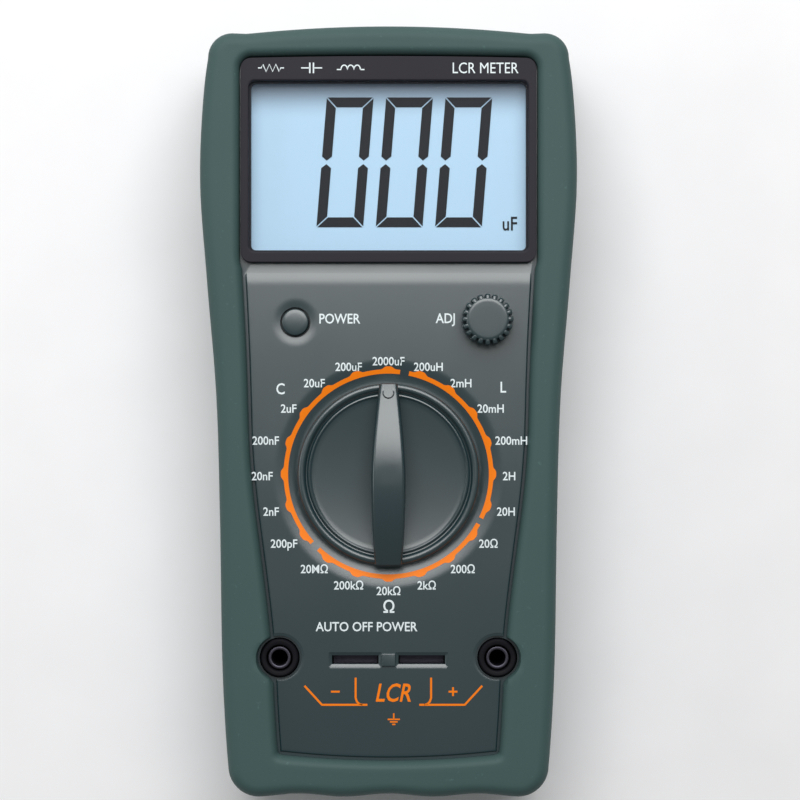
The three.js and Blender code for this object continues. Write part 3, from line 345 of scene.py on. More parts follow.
def moulded(name, colour, roughness, grain=4000.0, bump=0.06, specular=0.5, dust=0.0, ior=1.5):
    """Moulded plastic or rubber with a fine grain."""
    found = made_already(name)
    if found:
        return found
    material, tree, shader = new_material(name)
    group = tree.nodes.new("ShaderNodeGroup")
    group.node_tree = grain_group()
    group.inputs["Colour"].default_value = shade_of(colour, 1.03)
    group.inputs["Shade"].default_value = shade_of(colour, 0.95)
    group.inputs["Grain per metre"].default_value = grain
    group.inputs["Roughness"].default_value = roughness - 0.04
    relief = tree.nodes.new("ShaderNodeBump")
    relief.inputs["Strength"].default_value = bump
    relief.inputs["Distance"].default_value = 0.0002
    link(tree, group.outputs["Height"], relief.inputs["Height"])
    link(tree, relief.outputs["Normal"], shader.inputs["Normal"])
    link(tree, group.outputs["Roughness"], shader.inputs["Roughness"])
    tint = group.outputs["Colour"]
    if dust > 0:
        specks = tree.nodes.new("ShaderNodeGroup")
        specks.node_tree = specks_group()
        specks.inputs["Dust"].default_value = shade_of(colour, 2.2)
        specks.inputs["Amount"].default_value = dust
        link(tree, tint, specks.inputs["Colour"])
        tint = specks.outputs["Colour"]
    link(tree, tint, shader.inputs["Base Color"])
    shader.inputs["Specular IOR Level"].default_value = specular
    shader.inputs["IOR"].default_value = ior
    return material


def turned_metal(name, colour, roughness):
    """Plated metal with fine turning marks."""
    found = made_already(name)
    if found:
        return found
    material, tree, shader = new_material(name)
    place = tree.nodes.new("ShaderNodeTexCoord")
    stretch = tree.nodes.new("ShaderNodeMapping")
    stretch.inputs["Scale"].default_value = (1, 1, 12)
    marks = tree.nodes.new("ShaderNodeTexNoise")
    marks.inputs["Scale"].default_value = 900
    marks.inputs["Detail"].default_value = 3
    ramp = tree.nodes.new("ShaderNodeMapRange")
    ramp.inputs["To Min"].default_value = roughness - 0.08
    ramp.inputs["To Max"].default_value = roughness + 0.1
    relief = tree.nodes.new("ShaderNodeBump")
    relief.inputs["Strength"].default_value = 0.08
    relief.inputs["Distance"].default_value = 0.0001
    link(tree, place.outputs["Object"], stretch.inputs["Vector"])
    link(tree, stretch.outputs["Vector"], marks.inputs["Vector"])
    link(tree, marks.outputs["Fac"], ramp.inputs["Value"])
    link(tree, ramp.outputs["Result"], shader.inputs["Roughness"])
    link(tree, marks.outputs["Fac"], relief.inputs["Height"])
    link(tree, relief.outputs["Normal"], shader.inputs["Normal"])
    shader.inputs["Base Color"].default_value = shade_of(colour, 1)
    shader.inputs["Metallic"].default_value = 1
    return material


def semi_gloss(name, colour):
    """The lacquered plastic of the panel and the controls, which mirrors the light above it."""
    return moulded(name, colour, 0.34, grain=5200.0, bump=0.04, specular=1.0, dust=0.1, ior=1.6)


def printed_ink(name, colour):
    """Screen-printed ink, slightly uneven."""
    return moulded(name, colour, 0.5, grain=2500.0, bump=0.02, specular=0.3)


# ---- Mesh helpers ----
def new_object(name, vertices, faces, material, sharp=35.0):
    """A mesh object from millimetre vertices, with smooth faces and sharp edges past an angle."""
    mesh = bpy.data.meshes.new(name)
    mesh.from_pydata([Vector(v) * MM for v in vertices], [], faces)
    made = bpy.data.objects.new(name, mesh)
    bpy.context.scene.collection.objects.link(made)
    tidy_mesh(made, material, sharp)
    return made


def tidy_mesh(made, material, sharp=35.0):
    """Merges doubles, turns the faces outwards, and sets the shading and the material."""
    mesh = made.data
    work = bmesh.new()
    work.from_mesh(mesh)
    bmesh.ops.remove_doubles(work, verts=work.verts, dist=1e-6)
    bmesh.ops.dissolve_degenerate(work, edges=work.edges, dist=1e-7)
    bmesh.ops.recalc_face_normals(work, faces=work.faces)
    work.to_mesh(mesh)
    work.free()
    mesh.materials.clear()
    if material:
        mesh.materials.append(material)
    mesh.polygons.foreach_set("material_index", [0] * len(mesh.polygons))
    mesh.polygons.foreach_set("use_smooth", [True] * len(mesh.polygons))
    mesh.set_sharp_from_angle(angle=math.radians(sharp))
    mesh.update()


def baked(made):
    """Applies the object's modifiers, and leaves a plain mesh."""
    graph = bpy.context.evaluated_depsgraph_get()
    graph.update()
    mesh = bpy.data.meshes.new_from_object(made.evaluated_get(graph))
    made.modifiers.clear()
    made.data = mesh
    return made


def discard(*objects):
    for each in objects:
        bpy.data.objects.remove(each)


def boolean(target, other, operation="DIFFERENCE"):
    change = target.modifiers.new("boolean", "BOOLEAN")
    change.operation = operation
    change.solver = "EXACT"
    change.object = other
    baked(target)
    discard(other)
    return target


def merged(name, objects):
    """One mesh object from several whose meshes stay separate islands."""
    work = bmesh.new()
    for each in objects:
        work.from_mesh(each.data)
    mesh = bpy.data.meshes.new(name)
    work.to_mesh(mesh)
    work.free()
    discard(*objects)
    made = bpy.data.objects.new(name, mesh)
    bpy.context.scene.collection.objects.link(made)
    return made


def loft(name, rings, material, closed=False, sharp=35.0):
    """Skins rings of equal length. Closed, the last ring meets the first; open, both ends are capped."""
    count = len(rings[0])
    vertices = [point for ring in rings for point in ring]
    faces = []
    steps = len(rings) if closed else len(rings) - 1
    for k in range(steps):
        a, b = k * count, ((k + 1) % len(rings)) * count
        for i in range(count):
            j = (i + 1) % count
            faces.append((a + i, a + j, b + j, b + i))
    if not closed:
        faces.append(tuple(reversed(range(count))))
        faces.append(tuple(range((len(rings) - 1) * count, len(rings) * count)))
    return new_object(name, vertices, faces, material, sharp)


def turned(name, profile, x, y, material, segments=128, sharp=35.0):
    """A profile of (radius, height) points turned about a vertical axis; radius 0 makes a pole."""
    vertices, rows, faces = [], [], []
    for radius, z in profile:
        if radius == 0:
            rows.append([len(vertices)] * segments)
            vertices.append((x, y, z))
            continue
        rows.append(list(range(len(vertices), len(vertices) + segments)))
        for i in range(segments):
            angle = 2 * math.pi * i / segments
            vertices.append((x + radius * math.cos(angle), y + radius * math.sin(angle), z))
    closed = profile[0][0] > 0
    for k in range(len(rows) if closed else len(rows) - 1):
        a, b = rows[k], rows[(k + 1) % len(rows)]
        for i in range(segments):
            j = (i + 1) % segments
            corners = []
            for corner in (a[i], a[j], b[j], b[i]):
                if corner not in corners:
                    corners.append(corner)
            if len(corners) > 2:
                faces.append(tuple(corners))
    return new_object(name, vertices, faces, material, sharp)


def prism(name, outline, z0, z1, material=None, sharp=35.0):
    return loft(name, [[(x, y, z) for x, y in outline] for z in (z0, z1)], material, sharp=sharp)


def slab(name, x0, x1, y0, y1, z0, z1, edge, material):
    """A box with rounded edges."""
    half, x = (x1 - x0) / 2, (x0 + x1) / 2
    levels = []
    for inset, z in edge_levels(edge, z0, z1):
        shrunk = rectangle(half - inset, y0 + inset, y1 - inset, max(edge - inset, 0.01), x=x)
        levels.append(at_height(shrunk, z))
    return loft(name, levels, material)


def edge_levels(radius, z0, z1, steps=4):
    """(inset, height) pairs that round both ends of an upright wall."""
    levels = []
    for i in range(steps + 1):
        angle = math.pi / 2 * i / steps
        levels.append((radius * (1 - math.sin(angle)), z0 + radius * (1 - math.cos(angle))))
    return levels + [(inset, z0 + z1 - z) for inset, z in reversed(levels)]


def rectangle(half, y0, y1, corner, x=0.0, steps=8):
    """A rounded rectangle, anticlockwise from its right foot corner."""
    points = []
    for cx, cy, turn in (
        (x + half - corner, y0 + corner, -0.5),
        (x + half - corner, y1 - corner, 0.0),
        (x - half + corner, y1 - corner, 0.5),
        (x - half + corner, y0 + corner, 1.0),
    ):
        for i in range(steps + 1):
            angle = math.pi * (turn + 0.5 * i / steps)
            points.append((cx + corner * math.cos(angle), cy + corner * math.sin(angle)))
    return points


def fit(piece, body, slot, *nodes):
    """The piece rides on a body and stands for CAD nodes, which are hidden; slot is not used."""
    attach(piece, body)
    if nodes:
        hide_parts(*nodes)
    return piece


def dress(node, material):
    """Gives a CAD node that stays in view its material."""
    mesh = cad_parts[node].data
    mesh.materials.clear()
    mesh.materials.append(material)


# ---- Outlines ----
def smooth(t):
    t = min(1.0, max(0.0, t))
    return t * t * (3 - 2 * t)


SIDE_STATIONS = (
    (-HALF_LENGTH, FOOT_HALF - 2.3),
    (-0.86 * HALF_LENGTH, FOOT_HALF - 1.04),
    (JACK.y, FOOT_HALF),
    (DIAL.y - DIAL_RADIUS / 2, WAIST_HALF),
    (DIAL.y + 0.85 * DIAL_RADIUS, WAIST_HALF + 0.9),
    (0.34 * HALF_LENGTH, HEAD_HALF - 1.7),
    (0.6 * HALF_LENGTH, HEAD_HALF),
    (0.84 * HALF_LENGTH, HEAD_HALF - 1.02),
    (HALF_LENGTH, HEAD_HALF - 3.4),
)


def side_samples(count=192):
    """Points along the smooth curve through the stations."""
    last = len(SIDE_STATIONS) - 1
    samples = []
    for i in range(count + 1):
        place = last * i / count
        k = min(int(place), last - 1)
        t = place - k
        around = [SIDE_STATIONS[min(max(k + d, 0), last)] for d in (-1, 0, 1, 2)]
        samples.append(tuple(catmull_rom(t, *(p[axis] for p in around)) for axis in (0, 1)))
    return samples


def catmull_rom(t, a, b, c, d):
    v0, v1 = (c - a) / 2, (d - b) / 2
    return (2 * b - 2 * c + v0 + v1) * t**3 + (3 * c - 3 * b - 2 * v0 - v1) * t**2 + v0 * t + b


SIDE = side_samples()


def holster_half(y):
    """Half width of the holster, read from the curve's samples."""
    for (y0, x0), (y1, x1) in zip(SIDE, SIDE[1:]):
        if y0 <= y <= y1:
            return x0 + (x1 - x0) * (y - y0) / max(y1 - y0, 1e-9)
    return SIDE[0][1] if y < SIDE[0][0] else SIDE[-1][1]


def panel_half(y):
    """Half width of the panel: the holster's, less a rim that widens towards both ends."""
    rim = WAIST_RIM + 4.8 * smooth((-5 - y) / 62) + 1.2 * smooth((y + 5) / 42)
    return holster_half(y) - rim


def top_edge(x):
    """The arched end over the display, with a small ear towards each corner."""
    across = abs(x) / (HEAD_HALF - 11.5)
    ear = 0.25 * smooth((across - 0.94) / 0.26)
    return HALF_LENGTH - TOP_ARCH * min(1.0, across**2) + ear


def foot_edge(x, scallop):
    """The foot's end, with three shallow hollows across it."""
    nearest = round(x / SCALLOP_STEP)
    if abs(nearest) > 1:
        return -HALF_LENGTH
    turn = 2 * math.pi * (x - nearest * SCALLOP_STEP) / SCALLOP_STEP
    return -HALF_LENGTH + scallop * (1 + math.cos(turn)) / 2


FOOT_STEPS = 72
TOP_STEPS = 56
CORNER_STEPS = 10


def side_places():
    """Shares of the way up a side, closer together beside the jacks and under the display."""
    places = []
    at = 0.0
    while at < 1:
        y = -HALF_LENGTH + at * 2 * HALF_LENGTH
        near_jack = abs(y - JACK.y) < 8
        near_brow = abs(y - PANEL_TOP) < 3
        places.append(at)
        at += 0.0022 if near_jack or near_brow else 0.009
    return places[1:]


SIDE_PLACES = side_places()


def ring_of(foot, foot_corner, side, top_corner, top):
    """A symmetric outline from its right half: foot edge, corner arc, side, corner arc, top edge."""
    right = foot + foot_corner + side + top_corner + top
    return right + [(-x, y) for x, y in reversed(right[1:-1])]


def arc(cx, cy, radius, start, end, steps=CORNER_STEPS):
    points = []
    for i in range(steps + 1):
        angle = math.radians(start + (end - start) * i / steps)
        points.append((cx + radius * math.cos(angle), cy + radius * math.sin(angle)))
    return points


def body_outline(inset, scallop=0.0):
    """The holster's outline moved inwards."""
    foot_r, top_r = max(7.6 - inset, 1.0), max(6 - inset, 1.6)
    foot_y = -HALF_LENGTH + inset + foot_r
    foot_x = holster_half(foot_y) - inset - foot_r
    top_x = holster_half(HALF_LENGTH - TOP_ARCH - inset - top_r) - inset - top_r
    top_y = top_edge(top_x) - inset - top_r
    across = [foot_x * i / FOOT_STEPS for i in range(FOOT_STEPS)]
    foot = [(x, foot_edge(x, scallop) + inset) for x in across]
    side = []
    for place in SIDE_PLACES:
        y = foot_y + (top_y - foot_y) * place
        side.append((holster_half(y) - inset, y))
    across = [top_x * (1 - i / TOP_STEPS) for i in range(1, TOP_STEPS + 1)]
    top = [(x, top_edge(x) - inset) for x in across]
    return ring_of(
        foot,
        arc(foot_x, foot_y, foot_r, -90, 0),
        side,
        arc(top_x, top_y, top_r, 0, 90),
        top,
    )


def window_outline(inset=0.0):
    """The holster's back window, with as many points as the body's outline."""
    half = WAIST_HALF - 10.5 - inset
    foot, top = -HALF_LENGTH + 13.8 + inset, HALF_LENGTH - 30 - inset
    radius = 4 - min(inset, 3)
    return ring_of(
        [((half - radius) * i / FOOT_STEPS, foot) for i in range(FOOT_STEPS)],
        arc(half - radius, foot + radius, radius, -90, 0),
        [(half, foot + radius + (top - foot - 2 * radius) * place) for place in SIDE_PLACES],
        arc(half - radius, top - radius, radius, 0, 90),
        [((half - radius) * (1 - i / TOP_STEPS), top) for i in range(1, TOP_STEPS + 1)],
    )


def bezel_arch(x, grow=0.0):
    return BEZEL.y1 + grow - 0.5 * (x / BEZEL.half) ** 2


def opening_half(y, grow, notch):
    """Half width of the holster's front opening: the panel, the display above it, the jacks beside it."""
    brow = smooth((y - PANEL_TOP + 0.6) / 1.2)
    half = panel_half(y) * (1 - brow) + (BEZEL.half - SNUG) * brow + grow
    reach = notch**2 - (y - JACK.y) ** 2
    if reach > 0:
        half = max(half, JACK.x + math.sqrt(reach))
    return half


def opening_outline(grow, notch_grow=None):
    """The front opening, widened by grow, with as many points as the body's outline."""
    notch = JACK.half + 0.8 + (grow - RIM_GAP if notch_grow is None else notch_grow)
    foot_y = PANEL_FOOT + FOOT_SAG - grow
    foot_half = panel_half(foot_y) + grow
    foot_r = 0.6 + grow * 0.6
    top_r = 2.5 + grow
    foot = []
    for i in range(FOOT_STEPS):
        x = (foot_half - foot_r) * i / FOOT_STEPS
        foot.append((x, foot_y - FOOT_SAG * (1 - (x / foot_half) ** 2)))
    top_half = BEZEL.half + grow - SNUG
    top_y = bezel_arch(top_half - top_r, grow - SNUG) - top_r
    side = []
    for place in SIDE_PLACES:
        y = foot_y + foot_r + (top_y - foot_y - foot_r) * place
        side.append((opening_half(y, grow, notch), y))
    top = []
    for i in range(1, TOP_STEPS + 1):
        x = (top_half - top_r) * (1 - i / TOP_STEPS)
        top.append((x, bezel_arch(x, grow - SNUG)))
    return ring_of(
        foot,
        arc(foot_half - foot_r, foot_y + foot_r, foot_r, -90, 0),
        side,
        arc(top_half - top_r, top_y, top_r, 0, 90),
        top,
    )


def at_height(outline, z):
    return [(x, y, z) for x, y in outline]


def between(outer, inner, share, z):
    """A ring part of the way from one outline to another."""
    return [
        (ax + (bx - ax) * share, ay + (by - ay) * share, z)
        for (ax, ay), (bx, by) in zip(outer, inner)
    ]


# ---- Holster ----
def build_holster(settings):
    look = {"grain": 2600.0, "bump": 0.12, "specular": 0.35, "dust": 0.25}
    rubber = moulded("holster_rubber", settings.rubber, 0.62, **look)
    edge = settings.edge_round
    rings = [at_height(window_outline(), HOLSTER.z0 + 0.5), at_height(window_outline(-0.5), HOLSTER.z0)]
    for i in range(9):
        angle = math.pi / 2 * i / 8
        inset, drop = edge * (1 - math.sin(angle)), edge * (1 - math.cos(angle))
        rings.append(at_height(body_outline(inset, settings.scallop), HOLSTER.z0 + drop))
    for i in range(1, 4):
        z = edge + (DEPTH - 2 * edge) * i / 4
        rings.append(at_height(body_outline(0.0, settings.scallop), z))
    for i in range(11):
        angle = math.pi / 2 * i / 10
        inset, drop = edge * (1 - math.cos(angle)), edge * (1 - math.sin(angle))
        hollow = settings.scallop * (1 - 0.4 * i / 10)
        rings.append(at_height(body_outline(inset, hollow), DEPTH - drop))
    crest = body_outline(edge, settings.scallop * 0.6)
    mouth = opening_outline(RIM_GAP + settings.rim_flare, 0.35)
    for share in (0.25, 0.5, 0.75):
        rings.append(between(crest, mouth, share, DEPTH))
    for i in range(9):
        angle = math.pi / 2 * i / 8
        grow = settings.rim_flare * (1 - math.sin(angle))
        drop = (LIP - 0.5) * (1 - math.cos(angle))
        rings.append(at_height(opening_outline(RIM_GAP + grow, 0.35 * (1 - i / 8)), DEPTH - drop))
    rings.append(at_height(opening_outline(RIM_GAP), LIP_Z))
    inside = body_outline(WALL)
    rings.append(at_height(inside, LIP_Z))
    rings.append(at_height(inside, HOLSTER.z0 + BACK_WALL))
    rings.append(at_height(window_outline(), HOLSTER.z0 + BACK_WALL))
    boot = loft("holster_boot", rings, rubber, closed=True, sharp=50)
    fit(boot, "meter", "holster_rubber", "holster")


# ---- Front panel and case ----
def panel_height(x, y, settings):
    """Height of the panel's top: crowned along its length, dished round the dial."""
    middle = (PANEL_TOP + PANEL_FOOT) / 2
    reach = (PANEL_TOP - PANEL_FOOT) / 2
    z = PANEL_Z - settings.crown * ((y - middle) / reach) ** 2
    z -= settings.brow * smooth((y - PANEL_TOP + BROW_LENGTH) / BROW_LENGTH) ** 1.5
    z -= dish_fall(math.hypot(x, y - DIAL.y), WELL_RADIUS, DISH_OUTER + 0.6, settings.dish_depth)
    wide, deep, power = BUTTON_DISH
    z -= dish_fall(math.hypot(x - POWER.x, y - POWER.y), BUTTON_HOLE, BUTTON_HOLE + wide, deep, power)
    return z


def dish_fall(radius, inner, outer, depth, power=1.25):
    """How deep a dish round a hole is: steepest at the hole, and level at its outer edge."""
    share = min(1.0, max(0.0, (outer - radius) / (outer - inner)))
    return depth * share**power


def panel_rows(inset, count=240):
    """(half width, y) of each row of the panel's grid."""
    foot = PANEL_FOOT + FOOT_SAG + inset
    top = PANEL_TOP - inset
    rows = []
    for i in range(count + 1):
        y = foot + (top - foot) * i / count
        rows.append((panel_half(y) - inset, y))
    return rows


def panel_plate(settings, material):
    """The raised panel: its top is a fine grid that follows panel_height."""
    columns, sagging_rows = 150, 18
    vertices, faces, grid = [], [], []
    for k, (half, y) in enumerate(panel_rows(PANEL_ROUND)):
        row = []
        fade = max(0.0, 1 - k / sagging_rows)
        for c in range(columns + 1):
            share = -1 + 2 * c / columns
            x = half * share
            py = y - FOOT_SAG * (1 - share**2) * fade
            row.append(len(vertices))
            vertices.append((x, py, panel_height(x, py, settings)))
        grid.append(row)
    for a, b in zip(grid, grid[1:]):
        for c in range(columns):
            faces.append((a[c], a[c + 1], b[c + 1], b[c]))
    rim = grid[0] + [row[-1] for row in grid[1:]]
    rim += grid[-1][-2::-1] + [row[0] for row in grid[-2:0:-1]]
    centre_y = (PANEL_TOP + PANEL_FOOT) / 2
    previous = rim
    for i in range(1, 5):
        angle = math.pi / 2 * i / 4
        out, drop = PANEL_ROUND * math.sin(angle), PANEL_ROUND * (1 - math.cos(angle))
        ring = []
        for corner in rim:
            x, y, z = vertices[corner]
            side_x = panel_half(y) - PANEL_ROUND
            at_side = abs(abs(x) - side_x) < 0.2
            at_end = y > PANEL_TOP - 0.6 or y < PANEL_FOOT + FOOT_SAG + 0.6
            push_x = out * max(-1.0, min(1.0, x / side_x)) if at_side else 0.0
            push_y = math.copysign(out, y - centre_y) if at_end else 0.0
            ring.append(len(vertices))
            vertices.append((x + push_x, y + push_y, z - drop))
        for p in range(len(rim)):
            q = (p + 1) % len(rim)
            faces.append((previous[p], previous[q], ring[q], ring[p]))
        previous = ring
    base = []
    for corner in previous:
        x, y, _ = vertices[corner]
        base.append(len(vertices))
        vertices.append((x, y, SHOULDER_Z - 0.6))
    for p in range(len(rim)):
        q = (p + 1) % len(rim)
        faces.append((previous[p], previous[q], base[q], base[p]))
    faces.append(tuple(reversed(base)))
    return new_object("panel_plate", vertices, faces, material)


def case_wall(name, z0, z1, edge, material):
    """The front half's tray: a wall inside the holster, open below."""
    inset, wall = WALL + GAP, 2.0
    rings = []
    for i in range(6):
        angle = math.pi / 2 * i / 5
        grow = edge * (1 - math.cos(angle))
        rings.append(at_height(body_outline(inset + grow), z1 - edge * (1 - math.sin(angle))))
    rings.reverse()
    rings.append(at_height(body_outline(inset), z0))
    rings.append(at_height(body_outline(inset + wall), z0))
    rings.append(at_height(body_outline(inset + wall), z1 - wall))
    return loft(name, rings, material, sharp=40)


def build_front_case(settings):
    plastic = semi_gloss("panel_plastic", settings.plastic)
    plate = panel_plate(settings, plastic)
    tray = case_wall("front_case_tray", CASE.z0, SHOULDER_Z, 0.6, plastic)
    shell = boolean(tray, plate, "UNION")
    well_floor = PANEL_Z - 2.3
    well = round_hole(WELL_RADIUS, 0, DIAL.y, 128, well_floor)
    hub = round_hole(8.8, 0, DIAL.y, 64, CUT_LOW, well_floor + 1)
    shell = cut_with(shell, [well, hub])
    half, foot, top = LENS.half + 1.6, LENS.y0 - 1.6, LENS.y1 + 1.6
    cutters = [prism("cut_display", rectangle(half, foot, top, 2.8), CUT_LOW, CUT_HIGH)]
    cutters.append(round_hole(BUTTON_HOLE, POWER.x, POWER.y, 72))
    cutters.append(round_hole(1.8, ADJUSTER.x, ADJUSTER.y, 48))
    for side in (-1, 1):
        r, well = JACK.half + GAP, JACK.half + 0.8
        lip = panel_height(side * JACK.x, JACK.y, settings)
        profile = [(0, CUT_LOW), (r, CUT_LOW), (r, SHOULDER_Z), (well, SHOULDER_Z), (well, lip - 0.14)]
        profile += [(well + 0.7, lip), (well + 0.71, CUT_HIGH), (0, CUT_HIGH)]
        cutters.append(turned("cut_jack", profile, side * JACK.x, JACK.y, None, 96))
        cutters.append(slot_cutter(side, settings))
    shell = cut_with(shell, cutters)
    tidy_mesh(shell, plastic, 30)
    shell.name = "front_panel"
    fit(shell, "meter", "panel_plastic", "front_case")
    low, high = PANEL_Z - 1.2, PANEL_Z + 0.12
    tile = slab("slot_tile", -1.75, 1.75, CLIP.y - 1.6, CLIP.y + 1.6, low, high, 0.25, plastic)
    fit(tile, "meter", "panel_plastic")


def round_hole(radius, x, y, segments, low=CUT_LOW, high=CUT_HIGH):
    """A plain cylinder to cut with."""
    return turned("cut_hole", [(0, low), (radius, low), (radius, high), (0, high)], x, y, None, segments)


def cut_with(target, cutters):
    """Cuts with separate shapes at once."""
    return boolean(target, merged("cutters", cutters))


def slot_cutter(side, settings):
    """A flat component slot with a chamfered mouth."""
    x, y = side * CLIP.x, CLIP.y
    surface = panel_height(x, y, settings)
    rings = []
    for z, grow in ((CUT_LOW, 0), (surface - 0.42, 0), (surface, 0.8), (CUT_HIGH, 0.81)):
        outline = rectangle(5.75 + grow, y - 1.1 - grow, y + 1.1 + grow, 0.15 + grow * 0.2, x=x, steps=3)
        rings.append(at_height(outline, z))
    return loft("cut_slot", rings, None)


# ---- Display ----
def bezel_ring(grow, corner):
    half = BEZEL.half + grow
    foot = BEZEL.y0 - grow
    points = arc(half - corner, foot + corner, corner, -90, 0)
    top = bezel_arch(half - corner, grow) - corner
    points += [(half, foot + corner + (top - foot - corner) * i / 12) for i in range(1, 12)]
    points += arc(half - corner, top, corner, 0, 90)
    points += [((half - corner) * (1 - i / 12), 0) for i in range(1, 12)]
    points = [(x, bezel_arch(x, grow)) if y == 0 else (x, y) for x, y in points]
    mirror = [(-x, y) for x, y in reversed(points)]
    return points + [(0.0, bezel_arch(0, grow))] + mirror


def window_ring(grow, corner):
    """The display window, point for point with bezel_ring."""
    half, foot, top = LENS.half + 0.1 + grow, LENS.y0 - 0.1 - grow, LENS.y1 + 0.1 + grow
    points = arc(half - corner, foot + corner, corner, -90, 0)
    points += [(half, foot + corner + (top - foot - 2 * corner) * i / 12) for i in range(1, 12)]
    points += arc(half - corner, top - corner, corner, 0, 90)
    points += [((half - corner) * (1 - i / 12), top) for i in range(1, 12)]
    return points + [(0.0, top)] + [(-x, y) for x, y in reversed(points)]


def build_display(settings):
    violet = moulded("bezel_plastic", settings.bezel, 0.6, grain=4200.0, bump=0.06, specular=0.25, dust=0.15)
    rings = []
    low, high, edge = BEZEL.z0 + 3.0, BEZEL.z1, 0.12
    rings.append(at_height(bezel_ring(0, 2.5), low))
    for i in range(5):
        angle = math.pi / 2 * i / 4
        grow = -edge * (1 - math.cos(angle))
        rings.append(at_height(bezel_ring(grow, 2.5 + grow), high - edge * (1 - math.sin(angle))))
    rings.append(at_height(bezel_ring(-edge - 0.15, 2.2), high))
    rings.append(at_height(window_ring(0.5, 1.9), high))
    mouth = 0.35
    for i in range(5):
        angle = math.pi / 2 * i / 4
        grow, drop = mouth * (1 - math.sin(angle)), mouth * (1 - math.cos(angle))
        rings.append(at_height(window_ring(grow, 1.6), high - drop))
    rings.append(at_height(window_ring(0, 1.6), LENS.z0 - GAP))
    rings.append(at_height(window_ring(-0.4, 1.3), LENS.z0 - GAP))
    rings.append(at_height(window_ring(-0.4, 1.3), BEZEL.z0))
    rings.append(at_height(window_ring(1.2, 2.6), BEZEL.z0))
    rings.append(at_height(window_ring(1.2, 2.6), low))
    surround = loft("display_surround", rings, violet, closed=True)
    fit(surround, "meter", "bezel_plastic", "display_bezel")
    dress("display_lens", clear_plastic())
    dress("lcd_panel", display_glass(settings))
    digits(settings)


def clear_plastic():
    material, tree, shader = new_material("lens_clear")
    place = tree.nodes.new("ShaderNodeTexCoord")
    smears = tree.nodes.new("ShaderNodeTexNoise")
    smears.inputs["Scale"].default_value = 60
    ramp = tree.nodes.new("ShaderNodeMapRange")
    ramp.inputs["To Min"].default_value = 0.03
    ramp.inputs["To Max"].default_value = 0.09
    link(tree, place.outputs["Object"], smears.inputs["Vector"])
    link(tree, smears.outputs["Fac"], ramp.inputs["Value"])
    link(tree, ramp.outputs["Result"], shader.inputs["Roughness"])
    shader.inputs["Base Color"].default_value = (0.12, 0.14, 0.16, 1)
    shader.inputs["Alpha"].default_value = 0.05
    shader.inputs["Specular IOR Level"].default_value = 0.2
    return material


def display_glass(settings):
    """Lit display: pale blue with faint mottling, and a painted shadow that darkens it towards the top, under
    the bezel's edge.
    """
    material, tree, shader = new_material("lcd_glass")
    place = tree.nodes.new("ShaderNodeTexCoord")
    mottle = tree.nodes.new("ShaderNodeTexNoise")
    mottle.inputs["Scale"].default_value = 420
    mottle.inputs["Detail"].default_value = 4
    mix = tree.nodes.new("ShaderNodeMix")
    mix.data_type = "RGBA"
    mix.inputs["A"].default_value = shade_of(settings.glass, 0.92)
    mix.inputs["B"].default_value = shade_of(settings.glass, 0.96)
    split = tree.nodes.new("ShaderNodeSeparateXYZ")
    # Painted shadow: towards the window's top the colour and its glow blend into a dim blue-grey, standing in
    # for the bezel's shadow.
    fade = tree.nodes.new("ShaderNodeMapRange")
    fade.interpolation_type = "SMOOTHERSTEP"
    fade.inputs["From Min"].default_value = (LENS.y1 + 3.5) * MM
    fade.inputs["From Max"].default_value = (LENS.y1 - settings.shadow) * MM
    dim = tree.nodes.new("ShaderNodeMix")
    dim.data_type = "RGBA"
    dim.inputs["A"].default_value = (0.13, 0.17, 0.24, 1)
    link(tree, place.outputs["Object"], mottle.inputs["Vector"])
    link(tree, place.outputs["Object"], split.inputs["Vector"])
    link(tree, split.outputs["Y"], fade.inputs["Value"])
    link(tree, fade.outputs["Result"], dim.inputs["Factor"])
    link(tree, mottle.outputs["Fac"], mix.inputs["Factor"])
    link(tree, mix.outputs["Result"], dim.inputs["B"])
    link(tree, dim.outputs["Result"], shader.inputs["Base Color"])
    link(tree, dim.outputs["Result"], shader.inputs["Emission Color"])
    shader.inputs["Emission Strength"].default_value = 0.14
    shader.inputs["Roughness"].default_value = 0.35
    return material


def zero_segments(w, h, stroke, gap=0.22):
    """The six lit segments of a zero, mitred where they meet and pointed at mid height."""
    middle = h / 2
    top = [(gap, h), (w - gap, h), (w - stroke - gap, h - stroke), (stroke + gap, h - stroke)]
    upper = [(0, h - gap), (stroke, h - stroke - gap), (stroke, middle + gap + stroke / 2)]
    upper += [(stroke / 2, middle + 2 * gap), (0, middle + gap + stroke / 2)]
    right = [(w - x, y) for x, y in upper]
    above = [top, upper, right]
    return above + [[(x, h - y) for x, y in outline] for outline in above]


def digits(settings):
    """Three zeros, repeated along the display by a node tree, and the unit beside them."""
    ink = moulded("display_ink", linear(28, 29, 33), 0.5, grain=3000.0, bump=0.0, specular=0.2)
    base_y = LENS.y0 + 6.2
    lean = math.tan(settings.slant)
    z0, z1 = LCD.z1 + 0.02, LCD.z1 + 0.12
    parts = []
    for outline in zero_segments(settings.digit_width, settings.digit_height, settings.stroke):
        flat = [(x + y * lean, base_y + y) for x, y in outline]
        parts.append(prism("zero_part", flat, z0, z1, ink))
    zero = merged("zero_template", parts)
    tree = row_tree()
    row = new_object("display_zeros", [(0, 0, 0), (0.001, 0, 0), (0, 0.001, 0)], [(0, 1, 2)], ink)
    start = Vector((-17.9 * MM, 0, 0))
    run_nodes(row, tree, {"Template": zero, "Count": 3, "Start": start, "Pitch": 14.72 * MM, "Ink": ink})
    discard(zero)
    tidy_mesh(row, ink)
    fit(row, "meter", "lcd_ink")
    unit = flat_text("display_unit", "uF", 30.1, LENS.y0 + 7.1, 3.3, ink, z0, 0.1, bold=True)
    fit(unit, "meter", "lcd_ink")


